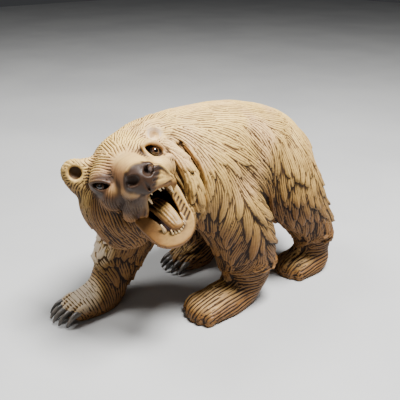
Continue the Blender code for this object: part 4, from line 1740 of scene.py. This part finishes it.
def hindleg_lies() -> list[Lie]:
    """The lie of the coat on the left thigh and hind leg: wavy, deep tufts."""
    return [
        Lie(((70, 47, 212), (76, 53, 192), (77, 56, 164), (70, 66, 138)), 44, 12, 4.4, 3.4, 1.4),
        Lie(((78, 77, 207), (87, 80, 175), (93, 73, 151), (90, 84, 124)), 46, 13, 4.6, 3.4, 1.4),
        Lie(((88, 92, 178), (100, 90, 132), (98, 106, 100), (94, 114, 76)), 44, 13, 4.4, 3.4, 1.4),
        Lie(((85, 116, 180), (97, 122, 144), (96, 136, 112), (92, 148, 84)), 42, 12, 4.4, 3.4, 1.4),
        Lie(((64, 150, 160), (72, 160, 124), (72, 168, 92), (66, 172, 60)), 38, 11, 4.2),
        Lie(((60, 62, 130), (60, 78, 100), (64, 98, 70), (66, 116, 50)), 38, 12, 3.8),
        Lie(((24, 90, 140), (26, 110, 104), (34, 130, 70)), 40, 13, 3.2),
        Lie(
            ((72, 176, 44), (88, 166, 46), (96, 148, 44), (88, 126, 44), (74, 116, 46)), 56, 12, 0.4, 4.4, 1.7
        ),
        Lie(((74, 166, 20), (92, 146, 24), (90, 122, 20), (82, 98, 14)), 70, 12, 0, 4.6, 1.8),
        Lie(((66, 138, 42), (66, 120, 32), (64, 100, 18)), 64, 12, 0, 4.6, 1.8),
        Lie(((38, 158, 34), (34, 136, 26), (42, 104, 16)), 64, 12, 0, 4.6, 1.8),
    ]


def head_lies(place: Place) -> list[Lie]:
    """The lie of the coat on the head, fanning out from the bridge of the nose."""

    def fan(*path: Point) -> Lie:
        """Flat gouge cuts along a path."""
        return Lie(path, 36, 10, 0.0, 3.0, 1.3, place)

    def shag(length: float, width: float, lift: float, *path: Point) -> Lie:
        """Raised locks along a path."""
        return Lie(path, length, width, lift, 3.0, 1.1, place)

    return [
        fan((0, -38, 24), (4, -8, 38), (8, 28, 38), (8, 52, 22)),
        fan((12, -38, 24), (26, -14, 34), (40, 18, 28), (46, 46, 8)),
        fan((-12, -40, 22), (-24, -14, 34), (-28, 20, 34), (-28, 50, 14)),
        fan((-26, -46, 17), (-40, -22, 24), (-50, 0, 30)),
        fan((28, -46, 20), (44, -22, 16), (54, 0, 12)),
        fan((-54, -8, 20), (-70, -2, 18)),
        fan((-50, -8, 34), (-50, 2, 46)),
        fan((-44, -10, 22), (-34, -6, 26)),
        fan((-56, -8, 30), (-66, 0, 40)),
        fan((58, -8, 20), (68, 0, 28)),
        fan((58, -8, 8), (70, 0, 0)),
        shag(50, 11, 1.6, (-44, -46, -10), (-54, -34, -34), (-56, -26, -62), (-48, -18, -92)),
        shag(50, 11, 1.3, (-26, -56, -24), (-36, -48, -46), (-36, -34, -76), (-26, -22, -104)),
        shag(44, 12, 2.4, (-62, -6, 6), (-70, 0, -20), (-72, 6, -50), (-64, 10, -80)),
        shag(44, 12, 2.4, (-54, 14, 20), (-68, 24, -10), (-70, 30, -50)),
        shag(36, 10, 2.2, (50, -44, -12), (56, -34, -34), (56, -28, -60), (48, -22, -88)),
        shag(30, 11, 4.6, (52, -40, 4), (60, -40, -18), (62, -44, -44), (58, -42, -70), (48, -32, -92)),
        shag(34, 10, 3.6, (66, -16, -10), (74, -12, -34), (76, -8, -60), (66, -6, -88)),
        shag(34, 11, 3.8, (62, -8, 4), (76, 2, -22), (80, 4, -52), (72, 6, -82)),
        shag(36, 12, 3.2, (58, 6, 26), (70, 12, 6), (80, 18, -24), (80, 18, -56)),
        shag(46, 12, 1.8, (0, -40, -108), (0, -10, -116), (2, 22, -106), (4, 50, -92)),
        shag(40, 12, 2.4, (34, -24, -92), (36, 4, -102), (34, 34, -92)),
        shag(40, 12, 1.8, (-26, -26, -90), (-32, 4, -100), (-30, 34, -90)),
    ]


@dataclass(frozen=True)
class Stain:
    """How dark the skin is at each point, from 0 for bare wood to 1 for the bottom of a cut: stain in the
    fine hollows, and painted shade in the broad ones.

    Attributes:
        even: The stain on an even place.
        hollow: How much more there is for each millimetre down in a fine hollow, which is stain, and in a
            broad one, which is painted shade.
        rounds: How often the skin is evened out to find fine hollows, and broad ones.
        rubbed: How much of what a fine hollow holds is rubbed off where the bear is rubbed and lit.
        top: How much less there is where the skin faces up.
        lit_ear_cup: How much less there is in the hollow of the left ear, a painted light that keeps it pale
            as if lit.
    """

    even: float = 0.46
    hollow: tuple[float, float] = (0.6875, 0.35)
    rounds: tuple[int, int] = (10, 60)
    rubbed: float = 0.6
    top: float = 0.08
    lit_ear_cup: float = 0.5


@dataclass(frozen=True)
class Bear:
    """The carved block: trunk, head and paws as one solid, with its coat, teeth and claws.

    Attributes:
        pitch: The spacing of the grid that the trunk is laid up on.
        finer: How many times finer the grid of the head and paws is.
        triangles: How many triangles the carved skin is thinned to.
        sole: How high the plain edge of the soles reaches.
        worn: The pale knuckles and wrist of the right forepaw, some wear with painted sheen.
    """

    trunk: Trunk = Trunk()
    head: Head = Head()
    paws: tuple[Paw, ...] = (
        Paw(62, -34, 28, 50, False),
        Paw(-53, -172, 24, 42, True),
        Paw(62, 136, 28, 40, False),
        Paw(-64, 18, 25, 36, True),
    )
    gouge: Gouge = Gouge()
    stain: Stain = Stain()
    low: Point = (-112.0, -238.0, -6.0)
    high: Point = (114.0, 190.0, 282.0)
    pitch: float = 3.6
    finer: int = 3
    triangles: int = 184000
    sole: float = 4.0
    worn: tuple[Ball, ...] = (
        Ball((-58.0, -196.0, 30.0), (26.0, 26.0, 16.0)),
        Ball((-72.0, -142.0, 86.0), (22.0, 20.0, 30.0)),
    )

    def block(self) -> Block:
        """The bear as a solid, smooth but for the features of its face."""
        coarse = Block(self.low, self.high, self.pitch)
        coarse.add(self.trunk.clay(), self.trunk.blend)
        coarse.carve(self.trunk.waists(), 14)
        coarse.soften(self.trunk.rounds)
        block = coarse.finer(self.finer)
        head = self.head
        block.add(head.skull(), head.blend)
        block.add(head.jaw(), head.blend)
        block.carve(head.gape(), 3)
        block.add([head.rim(), head.gum()], 2.5)
        block.carve([head.rim_face()], 0.4)
        block.carve(head.rim_cuts(), 0.3)
        block.add(head.side_wall(), 4)
        block.add([head.lip()], 1.2)
        block.add([head.ruff()], 6)
        block.carve([head.ruff_groove()], 4)
        block.add([head.tongue()], 2)
        block.carve(head.tongue_grooves(), 0.8)
        block.add(head.nose(), 3)
        block.carve(head.nostrils(), 1.5)
        block.add(head.whisker_ridges(), 1.0)
        block.carve(head.whisker_cuts(), 0.6)
        block.carve(head.sockets(), 2)
        block.add(head.lids(), 1.5)
        block.carve(head.eye_beds(), 0.0)
        block.carve(head.ear_cups(), 2)
        for paw in self.paws:
            block.add(paw.pad(), 10)
            block.add(paw.toe_clay(), 3 if paw.claws else 6)
        block.level()
        block.seal()
        return block

    def lies(self) -> list[Lie]:
        """The lie of the whole coat. The right side mirrors the left, moved to its own legs."""
        trunk, foreleg, hindleg = trunk_lies(), foreleg_lies(), hindleg_lies()
        right = [lie.over() for lie in trunk] + right_foreleg_lies()
        right += [lie.over((2, -44, -4)) for lie in foreleg[:4]]
        right += [lie.over((0, -24, 0)) for lie in hindleg[:3]]
        right += [lie.over((0, -104, 0)) for lie in hindleg[3:]]
        return trunk + foreleg + hindleg + right + head_lies(self.head.place)

    def bare(self, points: Array, normals: Array) -> Array:
        """How free the coat is to stand at each point: 0 on the bare face, the soles and the toes' ends."""
        head = self.head
        bald = [
            head.limb((0, -54, 4, 14), (0, -66, -3, 19), (0, -80, -10, 22), (0, -94, -14, 23)),
            head.limb((18, -60, -16, 15), (30, -58, -24, 12)),
            head.limb((-14, -64, -14, 14), (-20, -64, -20, 10)),
            *(replace(piece, radii=(13.0, 12.0, 11.0)) for piece in head.eye_beds()),
            head.ball((24, -90, -24), (12, 12, 12)),
        ]
        lips = [head.rim(), head.gum(), head.lip(), head.tongue()]
        lips += [*head.gape(), *head.lids(), *head.ear_cups()]
        free = np.clip(np.minimum(gap(points, bald) / 8, (gap(points, lips) - 0.8) / 3.5), 0, 1)
        free *= np.clip((normals[:, 2] + 0.92) / 0.2, 0, 1)
        return free * np.clip((points[:, 2] - 1) / self.sole, 0, 1)

    def skin(self) -> Skin:
        """The carved skin: the block's surface, its locks and its cuts."""
        skin = Skin(*self.block().skin())
        LOG.info("block: %d points", len(skin.points))
        edges = skin.edges()
        skin.points = smooth = skin.spread(skin.points, edges, 1)
        normals = skin.normals()
        comb = Comb(smooth, normals, self.lies(), self.gouge.seed)
        free = self.bare(smooth, normals)
        skin.lines = Lines.none(len(smooth))
        self.gouge.strokes(comb, free, skin.lines)
        rise = self.gouge.locks(comb, free, skin.lines)
        shallow = 1 - self.gouge.shallow * self.gouge.finer(comb.sizes[:, 2])
        cuts = comb.sizes[:, 4] * free * skin.lines.grooves() * shallow
        LOG.info("coat: locks rise to %.1f mm, cuts to %.1f mm", rise.max(), cuts.max())
        skin.marks = self.marks(smooth, free)
        skin.points = smooth + normals * (rise - cuts)[:, None]
        stain = self.stain
        # Stain in the fine hollows; the broad hollows (wide) are darkened as painted shade, such as the shade
        # under the locks' tips.
        evened = (skin.spread(skin.points, edges, rounds) for rounds in stain.rounds)
        near, wide = (((points - skin.points) * normals).sum(1) for points in evened)
        tone = stain.even + stain.hollow[0] * (1 - stain.rubbed * self.rubbed_and_lit(smooth, normals)) * near
        tone += stain.hollow[1] * wide - stain.top * np.clip(normals[:, 2], -0.5, 1)
        # Painted light: the hollow of the left ear is kept pale, as if lit.
        tone -= stain.lit_ear_cup * beside(smooth, 3, self.head.ear_cups()[1])
        skin.marks["stain"] = np.clip(tone, 0, 1)
        skin.marks["rubbed_and_lit"] = self.rubbed_and_lit(smooth, skin.spread(normals, edges, 20))
        skin.points[:, 2] = np.maximum(skin.points[:, 2], 0)
        return skin

    def rubbed_and_lit(self, points: Array, normals: Array) -> Array:
        """How pale each point is: real rubbing on the back and crown, painted light from above that pales
        what faces up and stands high, painted sheen with some wear on the right forepaw, and painted shade on
        the right cheek; most on the back and crown, least low down, and less on the lips, gum and tongue.
        """
        head = self.head
        # Painted shade: the right cheek and chin, darkened as if left in shade.
        cheek = head.limb((-34, -40, -30, 24), (-30, -30, -70, 24), (0, -30, -106, 20))
        jaws = 0.4 * beside(points, 4, head.rim(), head.tongue(), head.gum())
        jaws -= 0.12 * beside(points, 3, head.rim_face())
        # Painted light from above, mixed with real rubbing: lighter where the skin faces up and the higher it
        # stands.
        bare = 0.22 + 0.5 * normals[:, 2] + 0.4 * (points[:, 2] - 150) / 120
        # The right forepaw and wrist: some wear, with painted sheen.
        worn = 0.65 * beside(points, 14, *self.worn)
        return np.clip(bare + worn - np.maximum(0.6 * beside(points, 16, cheek), jaws), 0, 1)

    def marks(self, points: Array, free: Array) -> dict[str, Array]:
        """What the finishes need to know of each point, apart from the stain and how rubbed and lit it is;
        some of these marks paint shade and light.
        """
        head = self.head
        muzzle = head.limb((0, -48, 4, 18), (0, -60, 0, 20), (0, -78, -8, 19), (0, -92, -10, 16))
        # Painted shade: the right side of the muzzle.
        shaded_side = head.limb((-26, -46, 4, 12), (-22, -60, -6, 14), (-14, -78, -14, 14))
        right_eye, left_eye = (replace(piece, radii=(12.0, 12.0, 10.0)) for piece in head.eye_beds())
        # Real red-brown polish on the muzzle and round the left eye, with painted shade on the right side of
        # the muzzle and round the right eye.
        dye_and_shade = 0.4 * beside(points, 10, muzzle) + 0.4 * beside(points, 12, shaded_side)
        dye_and_shade = dye_and_shade + 0.45 * beside(points, 8, right_eye) + 0.5 * beside(points, 12, left_eye)
        # Pale grey: some wear with painted sheen on the right forepaw and wrist, and painted light in the
        # left ear's hollow.
        knuckles, lit_ear_cup = beside(points, 12, *self.worn), beside(points, 1.5, head.ear_cups()[1])
        deep = [
            replace(rope, joints=tuple((*spot, radius + 2) for *spot, radius in rope.joints))
            for rope in head.nostrils()
        ]
        # Painted shade: the right of the muzzle and the upper lip, darkened as if in shade.
        shaded_flap = head.limb((-30, -50, -18, 10), (-26, -66, -32, 9), (-14, -84, -34, 6), (-18, -62, -46, 8))
        nose = np.clip(1.4 * beside(points, 7, head.ball((0, -101, -15), (12, 8, 14)), *deep), 0, 1)
        # Painted shade round the right eye and on the right of the muzzle.
        shaded_rims = np.maximum(0.62 * beside(points, 8, shaded_flap), 0.75 * beside(points, 7, right_eye))
        return {
            "dye_and_shade": np.clip(dye_and_shade, 0, 1),
            "bleach_and_light": np.maximum(0.85 * knuckles, 0.9 * lit_ear_cup),
            "free": free,
            "black_and_shade": np.maximum(nose, shaded_rims),
        }

    def regions(self, points: Array, free: Array) -> Array:
        """The finish of each point."""
        head = self.head
        lips = [*head.side_wall(), head.rim(), head.gum(), head.lip(), head.tongue()]
        found = np.where(free < 0.4, Region.SKIN.value, Region.COAT.value)
        found[points[:, 2] < self.sole] = Region.COAT.value
        found[gap(points, head.gape()) < 1.2] = Region.MOUTH.value
        found[gap(points, lips) < 0.7] = Region.SKIN.value
        return found

    def mesh(self, shift: Array, materials: dict[Region, Material]) -> Object:
        """The bear's mesh in the frame's place.

        Args:
            shift: From the carver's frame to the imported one, in millimetres.
            materials: The material of each finish.

        Returns:
            One object that holds the block, its teeth and its claws.
        """
        skin = self.skin()
        whole = mesh_object("bear_carving", skin.points, skin.quads)
        self.thin(whole, skin)
        whole = evaluated(whole)
        mesh = whole.data
        mesh.materials.clear()
        for key in Region:
            mesh.materials.append(materials[key])
        self.dress(mesh, skin)
        joined = bmesh.new()
        joined.from_mesh(mesh)
        for key, make in ((Region.TOOTH, self.teeth), (Region.CLAW, self.claws)):
            for part in make(materials[key]):
                faces = part.data.polygons
                faces.foreach_set("material_index", np.full(len(faces), key.value, np.int32))
                joined.from_mesh(part.data)
                bpy.data.objects.remove(part, do_unlink=True)
        joined.to_mesh(mesh)
        joined.free()
        mesh.transform(Matrix.Translation(Vector(shift * MM)))
        mesh.shade_smooth()
        LOG.info("bear: %d triangles", sum(len(face.vertices) - 2 for face in mesh.polygons))
        return whole

    def dress(self, mesh: bpy.types.Mesh, skin: Skin) -> None:
        """Carry the marks, the lines and the finishes over from the carved skin.

        Args:
            mesh: The thinned mesh, which is changed.
            skin: The carved skin.
        """
        points = np.array([vertex.co for vertex in mesh.vertices]) / MM
        find = finder(skin.points).find
        nearest = np.array([find(point)[1] for point in points.tolist()])
        for name in ("stain", "dye_and_shade", "bleach_and_light", "black_and_shade", "rubbed_and_lit", "free"):
            mesh.attributes.new(name, "FLOAT", "POINT").data.foreach_set("value", skin.marks[name][nearest])
        corners = np.array([tuple(face.vertices) for face in mesh.polygons])
        drawn = skin.lines.corners(skin.points, points, nearest, corners)
        mesh.uv_layers.new(name="lines").data.foreach_set("uv", drawn.astype(np.float32).ravel())
        middle = np.sort(self.regions(points, skin.marks["free"][nearest])[corners], 1)[:, 1]
        mesh.polygons.foreach_set("material_index", middle.astype(np.int32))

    def thin(self, obj: Object, skin: Skin) -> None:
        """Give the mesh a modifier that thins it, and keeps more triangles on the head."""
        own = self.head.place.inside(skin.points)
        far = np.linalg.norm((own - np.array((5.0, -55.0, -30.0))) / np.array((55.0, 55.0, 85.0)), axis=1)
        weight = np.round(np.clip((far - 0.8) / 0.5, 0.15, 1.0), 1)
        group = obj.vertex_groups.new(name="give")
        for level in np.unique(weight):
            group.add(np.flatnonzero(weight == level).tolist(), float(level), "REPLACE")
        thin = obj.modifiers.new("Thin", "DECIMATE")
        thin.ratio = self.triangles / (2 * len(skin.quads))
        thin.use_collapse_triangulate = True
        thin.vertex_group = group.name
        thin.vertex_group_factor = 0.3

    def teeth(self, material: Material) -> list[Object]:
        """The teeth: lower front and left side, and the ragged upper row with its canines."""
        up, down = (0.0, -0.25, 1.0), (0.05, 0.1, -1.0)
        front = ((2, -59, -95), (10, -61, -97), (20, -59, -94))
        upper = ((2, -88, -32), (16, -84, -33), (26, -72, -38), (31, -58, -44))
        rows = [
            ToothRow("lower front teeth", front, 6, 4.0, 7.5, 0.45, up),
            ToothRow("upper teeth", upper, 9, 6.0, 7.0, 0.25, down, 0.5),
            ToothRow("upper canines", ((-3, -84, -35), (26, -74, -39)), 2, 6.5, 14.0, 0.2, down, 0.2),
            ToothRow("lower canines", ((-4, -54, -88), (23, -55, -89)), 2, 6.5, 12.0, 0.25, up, 0.1),
        ]
        return [row.mesh(self.head.place, material) for row in rows]

    def claws(self, material: Material) -> list[Object]:
        """The long claws of the paws that have them."""
        clawed = [paw for paw in self.paws if paw.claws]
        return [ClawSet(f"claws {n}").mesh(paw.claw_roots(), material) for n, paw in enumerate(clawed)]


@dataclass(frozen=True)
class Eye:
    """One glass eye: a ball with a low cornea on the way that it looks.

    Attributes:
        side: -1 for the bear's right eye, 1 for its left.
        bulge: How far the cornea stands out, as a share of the radius.
        gaze: The way that the left eye looks, in the head's frame.
        detail: How often the ball's faces are split.
    """

    side: int
    head: Head = Head()
    bulge: float = 0.05
    gaze: Point = (0.35, -1.0, 0.05)
    detail: int = 5

    def mesh(self, centre: Vector, name: str, material: Material) -> Object:
        """The eye's mesh.

        Args:
            centre: The middle of the eye, in metres.
            name: The object's name.
            material: The glass.

        Returns:
            The eye.
        """
        x, y, z = self.gaze
        look = Vector(self.head.place.along(np.array((self.side * x, y, z)))).normalized()
        ball = bmesh.new()
        bmesh.ops.create_icosphere(ball, subdivisions=self.detail, radius=1.0)
        facing = []
        for vertex in ball.verts:
            way = vertex.co.normalized()
            ahead = way.dot(look)
            facing.append(ahead)
            cornea = max(0.0, (ahead - 0.75) / 0.25)
            swell = 1 + self.bulge * cornea**2 * (3 - 2 * cornea)
            vertex.co = centre + way * swell * self.head.eye_radius * MM
        mesh = bpy.data.meshes.new(name)
        ball.to_mesh(mesh)
        ball.free()
        mesh.attributes.new("gaze", "FLOAT", "POINT").data.foreach_set("value", facing)
        mesh.materials.append(material)
        mesh.shade_smooth()
        return placed(name, mesh)


# -------- the studio


@dataclass(frozen=True)
class Lamp:
    """A soft square lamp: its place round the bear in degrees, its distance and side in metres, its power."""

    name: str
    azimuth: float
    elevation: float
    away: float
    size: float
    watts: float


@dataclass(frozen=True)
class Studio:
    """A plain pale floor, soft lamps and a camera, with angles in degrees and lengths in metres."""

    azimuth: float = 49.5
    elevation: float = 23.5
    distance: float = 0.87
    lens: float = 54.0
    target: Point = (-0.0298, 0.0244, 0.123)
    floor_size: float = 8.0
    floor_thick: float = 0.02
    lamps: tuple[Lamp, ...] = (
        Lamp("key", 105.0, 70.0, 1.6, 0.5, 95.0),
        Lamp("fill", 25.0, 30.0, 2.2, 1.2, 3.0),
        Lamp("rim", 305.0, 62.0, 1.7, 0.6, 22.0),
    )

    def stand(self, made: Object, azimuth: float, elevation: float, away: float) -> None:
        """Stand a lamp or a camera off the target at angles in degrees, facing it."""
        a, e = math.radians(azimuth), math.radians(elevation)
        back = Vector((math.sin(a) * math.cos(e), -math.cos(a) * math.cos(e), math.sin(e)))
        made.location = Vector(self.target) + back * away
        made.rotation_euler = back.to_track_quat("Z", "Y").to_euler()

    def camera(self) -> None:
        """The camera, level, looking at the middle of the bear."""
        made = placed("camera", bpy.data.cameras.new("camera"))
        made.data.lens, made.data.sensor_width = self.lens, 36.0
        self.stand(made, self.azimuth, self.elevation, self.distance)
        bpy.context.scene.camera = made

    def light(self, lamp: Lamp) -> None:
        """Set one lamp up."""
        made = placed(lamp.name, bpy.data.lights.new(lamp.name, "AREA"))
        made.data.energy, made.data.size = lamp.watts, lamp.size
        self.stand(made, lamp.azimuth, lamp.elevation, lamp.away)

    def floor(self) -> Object:
        """The floor, a thin slab with its top at Z = 0."""
        slab = Matrix.Diagonal((self.floor_size, self.floor_size, self.floor_thick, 1))
        bm = bmesh.new()
        bmesh.ops.create_cube(bm, size=1.0, matrix=Matrix.Translation((0, 0, -self.floor_thick / 2)) @ slab)
        mesh = bpy.data.meshes.new("floor")
        bm.to_mesh(mesh)
        bm.free()
        light, dark = paint(0.50, 0.50, 0.49), paint(0.46, 0.46, 0.455)
        finish = PlainFinish("floor paper", light, dark, (0.7, 0.85), 0.0, 3.0, bump=0.0001)
        mesh.materials.append(finish.material())
        return placed("floor", mesh)

    def sky(self) -> None:
        """An even, dim light from all round."""
        world = bpy.data.worlds.new("studio")
        world.use_nodes = True
        sky = {"Color": paint(0.8, 0.82, 0.86), "Strength": 0.05}
        Bench(world.node_tree).wire(world.node_tree.nodes["Background"], sky)
        bpy.context.scene.world = world

    def build(self) -> Object:
        """Set the studio up and return its floor."""
        self.camera()
        self.sky()
        for lamp in self.lamps:
            self.light(lamp)
        return self.floor()


def main() -> None:
    """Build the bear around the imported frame."""
    logging.basicConfig(level=logging.INFO, format="%(name)s: %(message)s")
    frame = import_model()
    head = Head()
    x, y, z = head.eye
    sockets = {"eye_right": -1, "eye_left": 1}
    shifts = []
    for node, side in sockets.items():
        low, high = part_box(node)
        shifts.append(np.array((low + high) / 2) / MM - head.place.outside(np.array([(side * x, y, z)]))[0])
    shift = np.mean(shifts, axis=0)
    LOG.info("frame: %s, shift %s mm", sorted(frame["nodes"]), np.round(shift, 3))
    floor = Studio().build()
    floor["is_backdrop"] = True
    materials = {key: finish.material() for key, finish in FINISHES.items()}
    bear = Bear().mesh(shift, materials)
    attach(bear, "root")
    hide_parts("bear")
    glass = EyeFinish().material()
    for node, side in sockets.items():
        low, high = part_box(node)
        eye = Eye(side).mesh((low + high) / 2, node + "_glass", glass)
        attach(eye, "root")
        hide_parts(node)
        LOG.info("%s: %d triangles", eye.name, len(eye.data.polygons))
    low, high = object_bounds()


if __name__ == "__main__":
    main()
